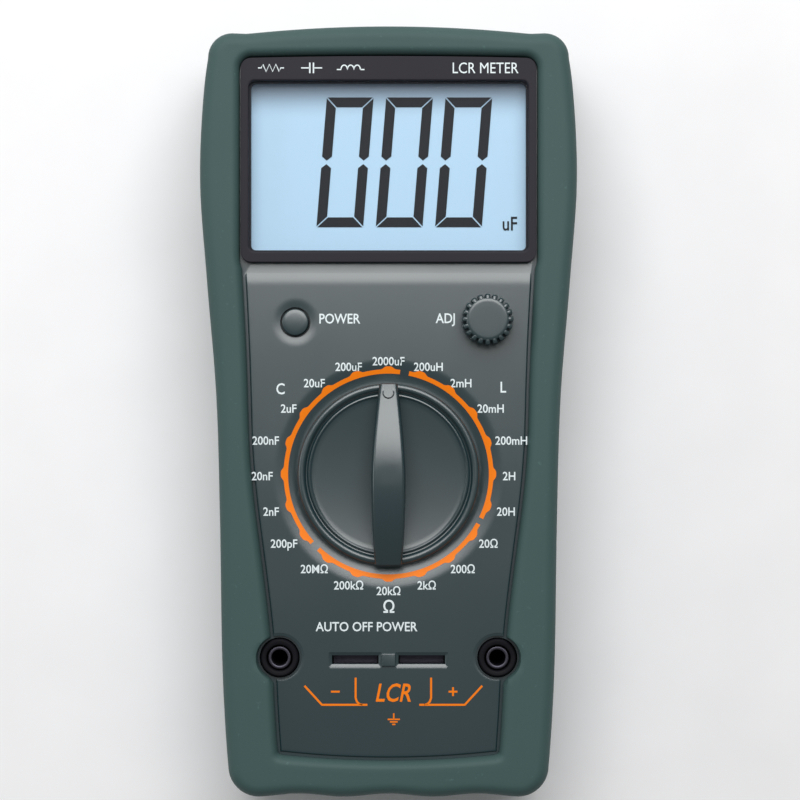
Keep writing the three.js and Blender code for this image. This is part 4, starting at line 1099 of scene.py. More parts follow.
# ---- Geometry node trees ----
def geometry_tree(name, inputs):
    tree = bpy.data.node_groups.new(name, "GeometryNodeTree")
    tree.interface.new_socket(name="Geometry", in_out="INPUT", socket_type="NodeSocketGeometry")
    for label, kind in inputs:
        tree.interface.new_socket(name=label, in_out="INPUT", socket_type=kind)
    tree.interface.new_socket(name="Geometry", in_out="OUTPUT", socket_type="NodeSocketGeometry")
    return tree, tree.nodes.new("NodeGroupInput"), tree.nodes.new("NodeGroupOutput")


def finish_tree(tree, start, end, instances):
    realise = tree.nodes.new("GeometryNodeRealizeInstances")
    paint = tree.nodes.new("GeometryNodeSetMaterial")
    link(tree, instances, realise.inputs["Geometry"])
    link(tree, realise.outputs["Geometry"], paint.inputs["Geometry"])
    link(tree, start.outputs["Ink"], paint.inputs["Material"])
    link(tree, paint.outputs["Geometry"], end.inputs["Geometry"])


def template_node(tree, start):
    info = tree.nodes.new("GeometryNodeObjectInfo")
    link(tree, start.outputs["Template"], info.inputs["Object"])
    return info.outputs["Geometry"]


def row_tree():
    """Copies of a template along X."""
    found = bpy.data.node_groups.get("row_of_copies")
    if found:
        return found
    tree, start, end = geometry_tree(
        "row_of_copies",
        [
            ("Template", "NodeSocketObject"),
            ("Count", "NodeSocketInt"),
            ("Start", "NodeSocketVector"),
            ("Pitch", "NodeSocketFloat"),
            ("Ink", "NodeSocketMaterial"),
        ],
    )
    line = tree.nodes.new("GeometryNodeMeshLine")
    step = tree.nodes.new("ShaderNodeCombineXYZ")
    copies = tree.nodes.new("GeometryNodeInstanceOnPoints")
    link(tree, start.outputs["Count"], line.inputs["Count"])
    link(tree, start.outputs["Start"], line.inputs["Start Location"])
    link(tree, start.outputs["Pitch"], step.inputs["X"])
    link(tree, step.outputs["Vector"], line.inputs["Offset"])
    link(tree, line.outputs["Mesh"], copies.inputs["Points"])
    link(tree, template_node(tree, start), copies.inputs["Instance"])
    finish_tree(tree, start, end, copies.outputs["Instances"])
    return tree


def circle_tree():
    """Copies of a template turned about a vertical axis through Centre."""
    found = bpy.data.node_groups.get("circle_of_copies")
    if found:
        return found
    tree, start, end = geometry_tree(
        "circle_of_copies",
        [
            ("Template", "NodeSocketObject"),
            ("Count", "NodeSocketInt"),
            ("Centre", "NodeSocketVector"),
            ("Ink", "NodeSocketMaterial"),
        ],
    )
    line = tree.nodes.new("GeometryNodeMeshLine")
    line.inputs["Offset"].default_value = (0, 0, 0)
    index = tree.nodes.new("GeometryNodeInputIndex")
    share = tree.nodes.new("ShaderNodeMath")
    share.operation = "DIVIDE"
    turn = tree.nodes.new("ShaderNodeMath")
    turn.operation = "MULTIPLY"
    turn.inputs[1].default_value = -2 * math.pi
    angles = tree.nodes.new("ShaderNodeCombineXYZ")
    rotation = tree.nodes.new("FunctionNodeEulerToRotation")
    copies = tree.nodes.new("GeometryNodeInstanceOnPoints")
    link(tree, start.outputs["Count"], line.inputs["Count"])
    link(tree, start.outputs["Centre"], line.inputs["Start Location"])
    link(tree, index.outputs["Index"], share.inputs[0])
    link(tree, start.outputs["Count"], share.inputs[1])
    link(tree, share.outputs["Value"], turn.inputs[0])
    link(tree, turn.outputs["Value"], angles.inputs["Z"])
    link(tree, angles.outputs["Vector"], rotation.inputs["Euler"])
    link(tree, line.outputs["Mesh"], copies.inputs["Points"])
    link(tree, template_node(tree, start), copies.inputs["Instance"])
    link(tree, rotation.outputs["Rotation"], copies.inputs["Rotation"])
    finish_tree(tree, start, end, copies.outputs["Instances"])
    return tree


def points_tree():
    """A copy of a template on each point of the object's own mesh."""
    found = bpy.data.node_groups.get("copies_on_points")
    if found:
        return found
    tree, start, end = geometry_tree(
        "copies_on_points", [("Template", "NodeSocketObject"), ("Ink", "NodeSocketMaterial")]
    )
    copies = tree.nodes.new("GeometryNodeInstanceOnPoints")
    link(tree, start.outputs["Geometry"], copies.inputs["Points"])
    link(tree, template_node(tree, start), copies.inputs["Instance"])
    finish_tree(tree, start, end, copies.outputs["Instances"])
    return tree


def run_nodes(made, tree, values):
    """Runs a node tree on an object with its named inputs set, and keeps the plain mesh."""
    change = made.modifiers.new(tree.name, "NODES")
    change.node_group = tree
    for item in tree.interface.items_tree:
        if item.item_type == "SOCKET" and item.in_out == "INPUT" and item.name in values:
            change[item.identifier] = values[item.name]
    return baked(made)


# ---- Dial ----
def build_dial(settings):
    plastic = semi_gloss("control_plastic", settings.plastic)
    crest = PANEL_Z + 1.8
    low = DIAL.z0 + 4.1
    lip = DIAL_RADIUS - 2.8
    profile = [(0, low + 0.6), (14, low + 0.6), (14.4, low), (DIAL_RADIUS - 0.6, low)]
    profile += [(DIAL_RADIUS, low + 0.6), (DIAL_RADIUS, crest - 0.9)]
    for i in range(1, 9):
        angle = math.pi * i / 8
        profile.append((DIAL_RADIUS - 0.95 + 0.95 * math.cos(angle), crest - 0.9 + 0.9 * math.sin(angle)))
    profile += [(lip + 0.75, crest - 1.25), (lip + 0.55, crest - 1.3), (lip + 0.35, crest - 1.15)]
    profile += [(lip + 0.15, crest - 0.85), (lip - 0.1, crest - 0.75), (lip - 0.35, crest - 0.85)]
    profile += [(lip - 0.55, crest - 1.05)]
    steps, reach = 18, lip - 0.8
    for i in range(steps + 1):
        share = 1 - i / steps
        profile.append((reach * share, crest - 2.15 + 1.0 * share**2.3))
    disc = turned("dial_disc", profile, 0, DIAL.y, plastic, 180)
    disc = boolean(disc, dial_bar(plastic), "UNION")
    hub = round_hole(8.5, 0, DIAL.y, 64, DIAL.z0, low + 1)
    hub.data.materials.append(plastic)
    disc = boolean(disc, hub, "UNION")
    tip_y = DIAL.y + DIAL_RADIUS - 2.35
    tip_z = bar_top(2.0 * (tip_y - DIAL.y) / (2.0 * DIAL_RADIUS - 0.5))
    ring = [(1.15, tip_z - 0.25), (1.5, tip_z - 0.25), (1.5, 42), (1.15, 42)]
    disc = boolean(disc, turned("cut_ring", ring, 0, tip_y, None, 48))
    tidy_mesh(disc, plastic, 32)
    disc.name = "range_dial"
    fit(disc, "dial", "control_plastic", "dial_knob")


def dial_bar(material):
    """The pointer bar: a boat-shaped ridge, arched along its length."""
    reach = DIAL_RADIUS - 0.25
    stations = 60
    rings = []
    for i in range(stations + 1):
        along = -1 + 2 * i / stations
        y = DIAL.y + reach * along
        half = bar_half(along)
        z = bar_top(along)
        edge = 0.7
        base = PANEL_Z - 1.0
        section = [(-half - 0.35, base), (-half - 0.1, z - edge)]
        for k in range(1, 6):
            angle = math.pi - math.pi / 2 * k / 5
            section.append((-half + edge + edge * math.cos(angle), z - edge + edge * math.sin(angle)))
        crown = 0.12
        section += [(-half / 3, z + crown * 0.6), (half / 3, z + crown * 0.6)]
        for k in range(0, 5):
            angle = math.pi / 2 - math.pi / 2 * k / 5
            section.append((half - edge + edge * math.cos(angle), z - edge + edge * math.sin(angle)))
        section += [(half + 0.1, z - edge), (half + 0.35, base)]
        rings.append([(x, y, min(level, DIAL.z1)) for x, level in section])
    return loft("dial_bar", rings, material)


def bar_top(along):
    """Height of the pointer bar's arch at a share of its reach."""
    end_z = PANEL_Z + 3.4
    return end_z + (DIAL.z1 - end_z) * (1 - along * along)


def bar_half(along):
    """Half width of the pointer bar, from its tail at -1 to its tip at 1."""
    if along > 0:
        return 3.9 - 1.8 * along**1.4
    return 3.9 - 0.7 * (-along) ** 2.2


# ---- Power button and adjuster ----
def build_controls(settings):
    plastic = semi_gloss("control_plastic", settings.plastic)
    top = POWER.z1
    profile = [(0, POWER.z0), (4.45, POWER.z0), (4.45, POWER.z0 + 0.8), (3.25, POWER.z0 + 0.8)]
    profile += [(3.25, top - 0.6), (3.22, top - 0.42), (3.12, top - 0.27), (2.95, top - 0.19)]
    profile += [(2.0, top - 0.09), (1.0, top - 0.02), (0, top)]
    button = turned("power_cap", profile, POWER.x, POWER.y, plastic, 72)
    fit(button, "power", "control_plastic", "power_button")
    fit(adjuster_knob(plastic), "adjuster", "control_plastic", "adj_knob")


def adjuster_knob(material):
    """A turned core joined to a ring of tapered teeth."""
    low, high = ADJUSTER.z0, ADJUSTER.z1
    outer, core_r = ADJUSTER.half, ADJUSTER.half - 1.05
    x, y = ADJUSTER.x, ADJUSTER.y
    core = [(0, low), (core_r, low), (core_r, high - 0.5), (core_r - 0.1, high - 0.25)]
    core += [(core_r - 0.35, high - 0.08), (core_r - 0.7, high - 0.01), (core_r - 1.0, high)]
    core += [(core_r / 2, high), (0, high)]
    body = turned("adjuster_body", core, x, y, material, 120)
    ridge = ((core_r - 0.6, low + 0.02), (outer, low + 0.02), (outer, high - 1.1))
    ridge += ((outer - 0.08, high - 0.75), (outer - 0.25, high - 0.5), (outer - 0.5, high - 0.36))
    ridge += ((core_r - 0.1, high - 0.17), (core_r - 0.6, high - 0.3))
    flank = ((-1, 0.45), (-0.85, 0.16), (-0.5, 0.03), (0, 0), (0.5, 0.03), (0.85, 0.16), (1, 0.45))
    half_tooth, rings = 0.66, []
    for share, sink in flank:
        ring = [(r - sink * 0.7, half_tooth * share * r / outer, max(low + 0.02, z - sink)) for r, z in ridge]
        rings.append(ring)
    template = loft("tooth", rings, material)
    teeth = new_object("teeth", [(0, 0, 0), (0.001, 0, 0), (0, 0.001, 0)], [(0, 1, 2)], material)
    centre = Vector((x, y, 0)) * MM
    run_nodes(teeth, circle_tree(), {"Template": template, "Count": 20, "Centre": centre, "Ink": material})
    discard(template)
    tidy_mesh(teeth, material)
    knob = boolean(body, teeth, "UNION")
    tidy_mesh(knob, material, 30)
    knob.name = "zero_adjuster"
    return knob


# ---- Jacks and component slots ----
def build_jacks():
    black = moulded("jack_plastic", linear(20, 20, 25), 0.6, grain=5000.0, bump=0.03, specular=0.12)
    # The tube's nickel is darkened as painted shade for its recess below the cup.
    plated = turned_metal("dark_nickel", *METALS["dark_nickel"])
    low, top, r = JACK.z0, JACK.z1, JACK.half
    sleeve, high, bore = SLEEVE.half, SLEEVE.z1, 2.0
    cup = [(0, low), (r - 0.2, low), (r, low + 0.2), (r, top - 0.5), (r - 0.12, top - 0.2), (r - 0.4, top)]
    cup += [(sleeve + 0.75, top), (sleeve + 0.45, top - 0.15), (sleeve + 0.3, top - 0.5)]
    cup += [(sleeve + 0.3, low + 1.5), (0, low + 1.5)]
    tube = [(bore, SLEEVE.z0), (sleeve, SLEEVE.z0), (sleeve, high - 0.35), (sleeve - 0.1, high - 0.1)]
    tube += [(sleeve - 0.25, high), (bore + 0.2, high), (bore + 0.06, high - 0.08), (bore, high - 0.25)]
    for name, x in (("neg", -JACK.x), ("pos", JACK.x)):
        cup_made = turned("jack_cup_" + name, cup, x, JACK.y, black, 96)
        fit(cup_made, "meter", "jack_plastic", "jack_insulator_" + name)
        tube_made = turned("jack_tube_" + name, tube, x, JACK.y, plated, 96)
        fit(tube_made, "meter", "dark_nickel", "jack_sleeve_" + name)


# ---- Printed labels ----
def text_mesh(text, bold=False):
    curve = bpy.data.curves.new("label", "FONT")
    curve.body = text
    curve.size = 1.0
    curve.resolution_u = 3
    curve.offset = 0.012 if bold else 0.0
    made = bpy.data.objects.new("label", curve)
    bpy.context.scene.collection.objects.link(made)
    bpy.context.view_layer.update()
    graph = bpy.context.evaluated_depsgraph_get()
    mesh = bpy.data.meshes.new_from_object(made.evaluated_get(graph))
    bpy.data.objects.remove(made)
    bpy.data.curves.remove(curve)
    return mesh


def cap_height():
    mesh = text_mesh("H")
    top = max(v.co.y for v in mesh.vertices)
    bpy.data.meshes.remove(mesh)
    return top


def flat_text(name, text, x, y, height, material, z, thick, squeeze=0.82, slant=0.0, follow=None, bold=False):
    """Text centred on x, y with capitals of a height, as a thin closed solid."""
    mesh = text_mesh(text, bold)
    scale = height / cap_height()
    xs = [v.co.x for v in mesh.vertices]
    centre = (min(xs) + max(xs)) / 2
    for v in mesh.vertices:
        across = (v.co.x - centre) * scale * squeeze + v.co.y * scale * slant
        up = v.co.y * scale - height / 2
        v.co = Vector((x + across, y + up, 0)) * MM
    work = bmesh.new()
    work.from_mesh(mesh)
    bmesh.ops.remove_doubles(work, verts=work.verts, dist=1e-7)
    for face in work.faces:
        if face.normal.z < 0:
            face.normal_flip()
    raised = bmesh.ops.extrude_face_region(work, geom=work.faces[:])
    lifted = [v for v in raised["geom"] if isinstance(v, bmesh.types.BMVert)]
    for v in lifted:
        v.co.z += thick * MM
    for v in work.verts:
        ground = follow(v.co.x / MM, v.co.y / MM) if follow else z
        v.co.z += ground * MM
    bmesh.ops.recalc_face_normals(work, faces=work.faces[:])
    work.to_mesh(mesh)
    work.free()
    made = bpy.data.objects.new(name, mesh)
    bpy.context.scene.collection.objects.link(made)
    tidy_mesh(made, material, 30)
    return made


RANGES = (
    "2000uF", "200uH", "2mH", "20mH", "200mH", "2H", "20H", "20Ω", "200Ω", "2kΩ",
    "20kΩ", "200kΩ", "20MΩ", "200pF", "2nF", "20nF", "200nF", "2uF", "20uF", "200uF",
)


def label_place(index, text, settings):
    """Where a range label stands: outside the arcs, its middle pushed out by its own width."""
    angle = math.radians(index * 360 / settings.positions)
    half = 0.7 * len(text)
    x = settings.label_radius * math.sin(angle)
    y = settings.label_radius * math.cos(angle)
    return x + half * math.sin(angle), DIAL.y + y - 0.5


def arc_band(name, start, end, settings, follow, material):
    """A printed arc, swollen outwards at each click, laid on the panel."""
    inner = settings.arc_radius - settings.arc_width / 2
    steps = max(8, int((end - start) * 1.2))
    click = 360 / settings.positions
    rows = []
    for i in range(steps + 1):
        degrees = start + (end - start) * i / steps
        off = (degrees + click / 2) % click - click / 2
        swell = 0.7 * math.exp(-((off / 2.9) ** 4))
        angle = math.radians(degrees)
        row = []
        for radius in (inner, inner + 0.5 * (settings.arc_width + swell), inner + settings.arc_width + swell):
            x, y = radius * math.sin(angle), DIAL.y + radius * math.cos(angle)
            row.append((x, y, follow(x, y)))
        rows.append(row)
    return ribbon(name, rows, 0.05, material)


def ribbon(name, rows, thick, material):
    """A thin solid over rows of points."""
    width = len(rows[0])
    vertices = [p for row in rows for p in row] + [(x, y, z + thick) for row in rows for x, y, z in row]
    top = len(rows) * width
    faces = []
    for i in range(len(rows) - 1):
        for j in range(width - 1):
            a, b = i * width + j, (i + 1) * width + j
            faces.append((a, b, b + 1, a + 1))
            faces.append((top + a, top + a + 1, top + b + 1, top + b))
    edge = [j for j in range(width)] + [i * width + width - 1 for i in range(1, len(rows))]
    edge += [(len(rows) - 1) * width + j for j in range(width - 2, -1, -1)]
    edge += [i * width for i in range(len(rows) - 2, 0, -1)]
    for a, b in zip(edge, edge[1:] + edge[:1]):
        faces.append((a, b, top + b, top + a))
    return new_object(name, vertices, faces, material)


def stroke(name, points, width, follow, material):
    """A printed line of a width through points."""
    rows = []
    for i, (x, y) in enumerate(points):
        x0, y0 = points[max(i - 1, 0)]
        x1, y1 = points[min(i + 1, len(points) - 1)]
        along = Vector((x1 - x0, y1 - y0)).normalized()
        nx, ny = -along.y * width / 2, along.x * width / 2
        rows.append([(x + nx, y + ny, follow(x + nx, y + ny)), (x - nx, y - ny, follow(x - nx, y - ny))])
    return ribbon(name, rows, 0.05, material)


def dense(points, step=0.6):
    """The same path with points every step, so that it can follow the panel."""
    result = [points[0]]
    for (x0, y0), (x1, y1) in zip(points, points[1:]):
        count = max(1, int(math.hypot(x1 - x0, y1 - y0) / step))
        result += [(x0 + (x1 - x0) * i / count, y0 + (y1 - y0) * i / count) for i in range(1, count + 1)]
    return result


def build_labels(panel, dial):
    white = printed_ink("label_ink", dial.white)
    orange = printed_ink("scale_ink", dial.orange)

    def follow(x, y):
        return panel_height(x, y, panel) + 0.01

    labels = []
    for index, text in enumerate(RANGES):
        x, y = label_place(index, text, dial)
        labels.append(flat_text("label", text, x, y, 2.0, white, 0, 0.03, 0.92, follow=follow, bold=True))
    words = (
        ("POWER", -12.0, 22.9, 2.35, 0.85), ("ADJ", 14.0, 23.0, 2.35, 0.85), ("C", -26.6, 5.6, 2.6, 0.85),
        ("L", 28.3, 6.0, 2.6, 0.85), ("Ω", 0.1, -48.1, 2.9, 0.95), ("AUTO OFF POWER", -5.4, -53.0, 2.2, 0.9),
    )
    for text, x, y, height, squeeze in words:
        look = {"squeeze": squeeze, "follow": follow, "bold": True}
        labels.append(flat_text("label", text, x, y, height, white, 0, 0.03, **look))
    fit(tidied(merged("panel_lettering", labels), white), "meter", "print_white")
    spans = ((11.5, 115.5), (119, 223), (228, 366.5))
    bands = [arc_band("band", *span, dial, follow, orange) for span in spans]
    bands += slot_lines(follow, orange) + earth_symbol(1.3, -76.8, follow, orange)
    for text, x in (("−", -13.1), ("+", 15.9)):
        bands.append(flat_text("band", text, x, -69.1, 3.0, orange, 0, 0.05, 1.0, follow=follow, bold=True))
    bands.append(flat_text("band", "LCR", 1.2, -69.3, 4.3, orange, 0, 0.05, 0.78, 0.2, follow, True))
    fit(tidied(merged("panel_scale", bands), orange), "meter", "print_orange")
    build_bezel_marks(white)


def tidied(made, material):
    tidy_mesh(made, material, 30)
    return made


def slot_lines(follow, material):
    """The orange lines that lead from the jacks and the slots to their name."""
    lines = []
    for side in (-1, 1):
        route = [(side * 21.9, -67.6), (side * 17.6, -72.3), (side * 6.4, -72.3)]
        corner = ((9.3, -65.6), (9.3, -70.6), (9.0, -71.5), (8.4, -72.1), (7.6, -72.3))
        hook = [(side * x, y) for x, y in corner]
        for path in (route, hook):
            shifted = [(x + 1.2, y) for x, y in path]
            lines.append(stroke("line", dense(shifted), 0.5, follow, material))
    return lines


def earth_symbol(x, y, follow, material):
    parts = [stroke("mark", dense([(x, y + 2.4), (x, y + 0.9)], 0.4), 0.35, follow, material)]
    for k, half in enumerate((1.5, 0.95, 0.4)):
        level = y + 0.9 - 0.62 * k
        line = dense([(x - half, level), (x + half, level)], 0.4)
        parts.append(stroke("mark", line, 0.35, follow, material))
    return parts


def build_bezel_marks(white):
    """Plain schematic marks and the tester's kind, printed above the window."""

    def flat(x, y):
        return BEZEL.z1 + 0.01

    y = (LENS.y1 + BEZEL.y1) / 2 + 0.1
    marks = []
    x = -BEZEL.half + 7.5
    teeth = [(x - 3.2, y), (x - 2.4, y)]
    teeth += [(x - 2.0 + 0.8 * k, y + (0.9 if k % 2 == 0 else -0.9)) for k in range(6)]
    teeth += [(x + 2.4, y), (x + 3.2, y)]
    marks.append(stroke("mark", teeth, 0.3, flat, white))
    x += 10
    for side in (-1, 1):
        plate = [(x + side * 0.45, y - 1.3), (x + side * 0.45, y + 1.3)]
        marks.append(stroke("mark", plate, 0.35, flat, white))
        marks.append(stroke("mark", [(x + side * 0.5, y), (x + side * 2.6, y)], 0.3, flat, white))
    x += 9.6
    loops = [(x - 3.4, y - 0.4), (x - 2.4, y - 0.4)]
    for k in range(3):
        for i in range(1, 9):
            angle = math.pi * (1 - i / 8)
            loops.append((x - 1.6 + 1.6 * k + 0.8 * math.cos(angle), y - 0.4 + 1.1 * math.sin(angle)))
    loops += [(x + 2.4, y - 0.4), (x + 3.4, y - 0.4)]
    marks.append(stroke("mark", loops, 0.3, flat, white))
    x = BEZEL.half - 12.5
    marks.append(flat_text("mark", "LCR METER", x, y, 2.6, white, BEZEL.z1 + 0.01, 0.04, 0.85))
    fit(tidied(merged("bezel_lettering", marks), white), "meter", "print_white")


# ---- Back of the tester ----
def build_back(settings):
    look = {"grain": 3200.0, "bump": 0.14, "specular": 0.4, "dust": 0.15}
    dark = moulded("case_plastic", settings.case, 0.55, **look)
    dress("rear_case", dark)
    build_door(dark)
    build_stand(dark)


def build_door(material):
    """Battery door with rounded edges and a row of grip grooves."""
    z0, z1 = DOOR.z0, DOOR.z0 + 1.6
    plate = slab("door_plate", -DOOR.half, DOOR.half, DOOR.y0, DOOR.y1, z0, z1, 0.35, material)
    grooves = []
    for k in range(6):
        y = DOOR.y0 + 7.6 + 1.9 * k
        grooves.append(slab("groove", -7, 7, y, y + 0.8, z0 - 1, z0 + 0.5, 0.2, material))
    screw = Box("battery_door_screw")
    seat = [(0, z0 - 1), (2.95, z0 - 1), (2.7, z0 + 0.25), (2.7, z0 + 0.9)]
    seat += [(1.5, z0 + 0.9), (1.5, z1 + 1), (0, z1 + 1)]
    grooves.append(turned("cut_seat", seat, 0, screw.y, None, 64))
    plate = boolean(plate, merged("cutters", grooves))
    y0, y1 = DOOR.y0 + 2.9, DOOR.y0 + 3.5
    for x in (-8.3, 8.3):
        lug = slab("lug", x - 2, x + 2, y0, y1, z1 - 0.4, DOOR.z1, 0.12, material)
        plate = boolean(plate, lug, "UNION")
    tidy_mesh(plate, material, 32)
    plate.name = "battery_cover_plate"
    fit(plate, "battery_cover", "case_plastic", "battery_door")


def build_stand(material):
    """The folding stand: a ribbed leaf on a barrel with a pin at each end."""
    half = 22.0
    axis_y, axis_z = STAND.y1 - 2.0, STAND.z1 - 2.0
    low, high = STAND.z0, STAND.z0 + 2.0
    leaf = slab("stand_leaf", -half, half, STAND.y0, axis_y, low, high, 0.5, material)
    cutters = [turned("cut_notch", [(0, -1), (7, -1), (7, 6), (0, 6)], 0, STAND.y0 - 3.5, None, 72)]
    y0, y1 = STAND.y0 + 12, axis_y - 8
    for k in range(5):
        x = -14.0 + 7.0 * k
        cutters.append(slab("cut_rib", x - 1.4, x + 1.4, y0, y1, low - 1, low + 0.6, 0.5, material))
    leaf = boolean(leaf, merged("cutters", cutters))
    barrel = crosswise("stand_barrel", 2.0, -half, half, axis_y, axis_z, 0.3, material)
    leaf = boolean(leaf, barrel, "UNION")
    pins = crosswise("stand_pins", 1.0, -half - 2.4, half + 2.4, axis_y, axis_z, 0.2, material)
    leaf = boolean(leaf, pins, "UNION")
    tidy_mesh(leaf, material, 32)
    leaf.name = "stand_leaf"
    fit(leaf, "stand", "case_plastic", "tilt_stand")


def crosswise(name, radius, x0, x1, y, z, edge, material, segments=48):
    """A round bar along X with eased ends."""
    stations = [(x0, radius - edge), (x0 + edge, radius), (x1 - edge, radius), (x1, radius - edge)]
    rings = []
    for x, r in stations:
        ring = []
        for i in range(segments):
            angle = 2 * math.pi * i / segments
            ring.append((x, y + r * math.cos(angle), z + r * math.sin(angle)))
        rings.append(ring)
    return loft(name, rings, material)


def build_screws():
    """Cross-head screws, one template repeated by a node tree for each body."""
    plated = turned_metal("steel", *METALS["steel"])
    groups = {
        "case_screws": ("meter", ["case_screw_%d" % k for k in range(1, 5)], 2.1, 1.05, 1.5),
        "door_screw": ("battery_cover", ["battery_door_screw"], 2.4, 1.1, 0.55),
    }
    for name, (body, nodes, head, shank, high) in groups.items():
        first = Box(nodes[0])
        length = first.z1 - first.z0
        deep = min(0.6, high * 0.55)
        profile = [(0, 0), (head - 0.5, 0), (head - 0.15, 0.12), (head, 0.35), (head, high), (shank, high)]
        profile += [(shank, length - 1.0), (shank * 0.4, length), (0, length)]
        template = turned("screw", profile, 0, 0, plated, 40)
        arm = head * 0.62
        cross = prism("cross_a", rectangle(arm, -0.28, 0.28, 0.1, steps=2), -1, deep)
        template = boolean(template, cross)
        cross = prism("cross_b", rectangle(0.28, -arm, arm, 0.1, steps=2), -1, deep)
        template = boolean(template, cross)
        spots = [(Box(node).x, Box(node).y, first.z0) for node in nodes]
        holder = new_object(name, spots, [], plated)
        run_nodes(holder, points_tree(), {"Template": template, "Ink": plated})
        discard(template)
        tidy_mesh(holder, plated)
        fit(holder, body, "steel", *nodes)


# ---- Parts inside ----
INSIDE = {
    "circuit_board": (("main_pcb",), linear(26, 92, 54), 0.35),
    "black_plastic": (
        ("meter_chip", "power_switch_body", "test_socket", "battery_snap"), linear(26, 26, 28), 0.5,
    ),
    "white_plastic": (
        ("backlight_panel", "lcd_frame", "power_switch_plunger", "dial_rotor"), linear(226, 226, 220), 0.45,
    ),
    "zebra_rubber": (("zebra_strip",), linear(206, 196, 202), 0.7),
    "blue_plastic": (("adj_pot_body",), linear(42, 78, 140), 0.35),
    "felt": (("dial_washer",), linear(128, 130, 130), 0.9),
    "battery_can": (("battery_9v",), linear(46, 46, 50), 0.3),
    "red_insulation": (("battery_lead_red",), linear(176, 42, 34), 0.4),
    "foam": (("battery_pad",), linear(58, 58, 60), 0.9),
    "fuse_glass": (("fuse",), linear(205, 211, 215), 0.12),
    "black_insulation": (("battery_lead_black",), linear(20, 20, 22), 0.4),
}
INSIDE_METAL = {
    "steel": (
        "pcb_screw_1", "pcb_screw_2", "pcb_screw_3", "pcb_screw_4", "power_switch_spring", "adj_shaft",
        "detent_ball_1", "detent_ball_2", "detent_spring_1", "detent_spring_2",
    ),
    # The test clips take the same darkened nickel, as painted shade for the deep slots.
    "dark_nickel": ("test_clip_neg", "test_clip_pos"),
    "brass": (
        "fuse_clip_1", "fuse_clip_2",
        "wiper_contact_1", "wiper_contact_2", "wiper_contact_3", "wiper_contact_4",
    ),
}
METALS = {
    "steel": (linear(196, 198, 202), 0.3),
    "brass": (linear(204, 170, 96), 0.32),
    # Painted shade: this nickel is darkened to stand in for the shade in the jack bores and the component
    # slots.
    "dark_nickel": (linear(82, 80, 90), 0.45),
}


def dress_inside():
    for name, (nodes, colour, roughness) in INSIDE.items():
        material = moulded(name, colour, roughness, grain=2600.0, bump=0.08)
        for node in nodes:
            dress(node, material)
    for name, nodes in INSIDE_METAL.items():
        material = turned_metal(name, *METALS[name])
        for node in nodes:
            dress(node, material)


# ---- Stage ----
def aim(made, place, target):
    made.location = place
    made.rotation_mode = "QUATERNION"
    made.rotation_quaternion = (Vector(target) - Vector(place)).to_track_quat("-Z", "Y")


def area_light(name, place, target, width, height, power):
    data = bpy.data.lights.new(name, "AREA")
    data.shape = "RECTANGLE"
    data.size, data.size_y, data.energy = width, height, power
    light = bpy.data.objects.new(name, data)
    bpy.context.scene.collection.objects.link(light)
    aim(light, place, target)
    return light


CAMERA_SHIFT = 0.00284
FLOOR_HALF = 1600


def build_stage(settings):
    """The camera above the tester, its two lights and the pale floor."""
    scene = bpy.context.scene
    for leftover in ("Cube", "Light", "Camera"):
        if leftover in bpy.data.objects:
            bpy.data.objects.remove(bpy.data.objects[leftover])
    data = bpy.data.cameras.new("view")
    camera = bpy.data.objects.new("view", data)
    scene.collection.objects.link(camera)
    camera.location = (CAMERA_SHIFT, CAMERA_SHIFT, settings.camera_height)
    data.sensor_width = 36
    data.lens = 36 * (settings.camera_height - 0.03) / settings.view_width
    data.dof.use_dof = False
    scene.camera = camera
    signs = ((-1, -1), (1, -1), (1, 1), (-1, 1))
    corners = [(a * FLOOR_HALF, b * FLOOR_HALF, -0.05) for a, b in signs]
    floor = new_object("floor", corners, [(0, 1, 2, 3)], None)
    paint = moulded("floor_paint", (0.93, 0.93, 0.94), 0.8, grain=300.0, bump=0.0, specular=0.1)
    floor.data.materials.append(paint)
    target = (0, 0, 0.02)
    area_light("key", (0.02, 0.55, 0.77), target, 1.1, 0.85, settings.key_power)
    area_light("side", (-0.9, 0.1, 0.4), target, 0.5, 0.4, settings.key_power * 0.12)
    world = scene.world or bpy.data.worlds.new("room")
    scene.world = world
    world.use_nodes = True
    background = world.node_tree.nodes["Background"]
    background.inputs["Color"].default_value = (1, 1, 1, 1)
    background.inputs["Strength"].default_value = settings.fill
    scene.view_settings.view_transform = "Standard"


# ---- Operators ----
class TESTER_OT_stage(bpy.types.Operator):
    """Adds the floor, lights and camera."""

    bl_idname = "tester.stage"
    bl_label = "Stage"

    def execute(self, context):
        build_stage(context.scene.tester_stage)
        return {"FINISHED"}


class TESTER_OT_holster(bpy.types.Operator):
    """Builds the rubber boot."""

    bl_idname = "tester.holster"
    bl_label = "Holster"

    def execute(self, context):
        build_holster(in_millimetres(context.scene.tester_holster))
        return {"FINISHED"}


class TESTER_OT_front_case(bpy.types.Operator):
    """Builds the panel."""

    bl_idname = "tester.front_case"
    bl_label = "Front case"

    def execute(self, context):
        build_front_case(in_millimetres(context.scene.tester_panel))
        return {"FINISHED"}


class TESTER_OT_display(bpy.types.Operator):
    """Builds the display."""

    bl_idname = "tester.display"
    bl_label = "Display"

    def execute(self, context):
        build_display(in_millimetres(context.scene.tester_display))
        return {"FINISHED"}


class TESTER_OT_dial(bpy.types.Operator):
    """Builds the range dial."""

    bl_idname = "tester.dial"
    bl_label = "Dial"

    def execute(self, context):
        build_dial(in_millimetres(context.scene.tester_dial))
        return {"FINISHED"}


class TESTER_OT_controls(bpy.types.Operator):
    """Builds the button and adjuster."""

    bl_idname = "tester.controls"
    bl_label = "Controls"

    def execute(self, context):
        build_controls(in_millimetres(context.scene.tester_dial))
        return {"FINISHED"}


class TESTER_OT_jacks(bpy.types.Operator):
    """Builds the test jacks."""

    bl_idname = "tester.jacks"
    bl_label = "Jacks"

    def execute(self, context):
        build_jacks()
        return {"FINISHED"}


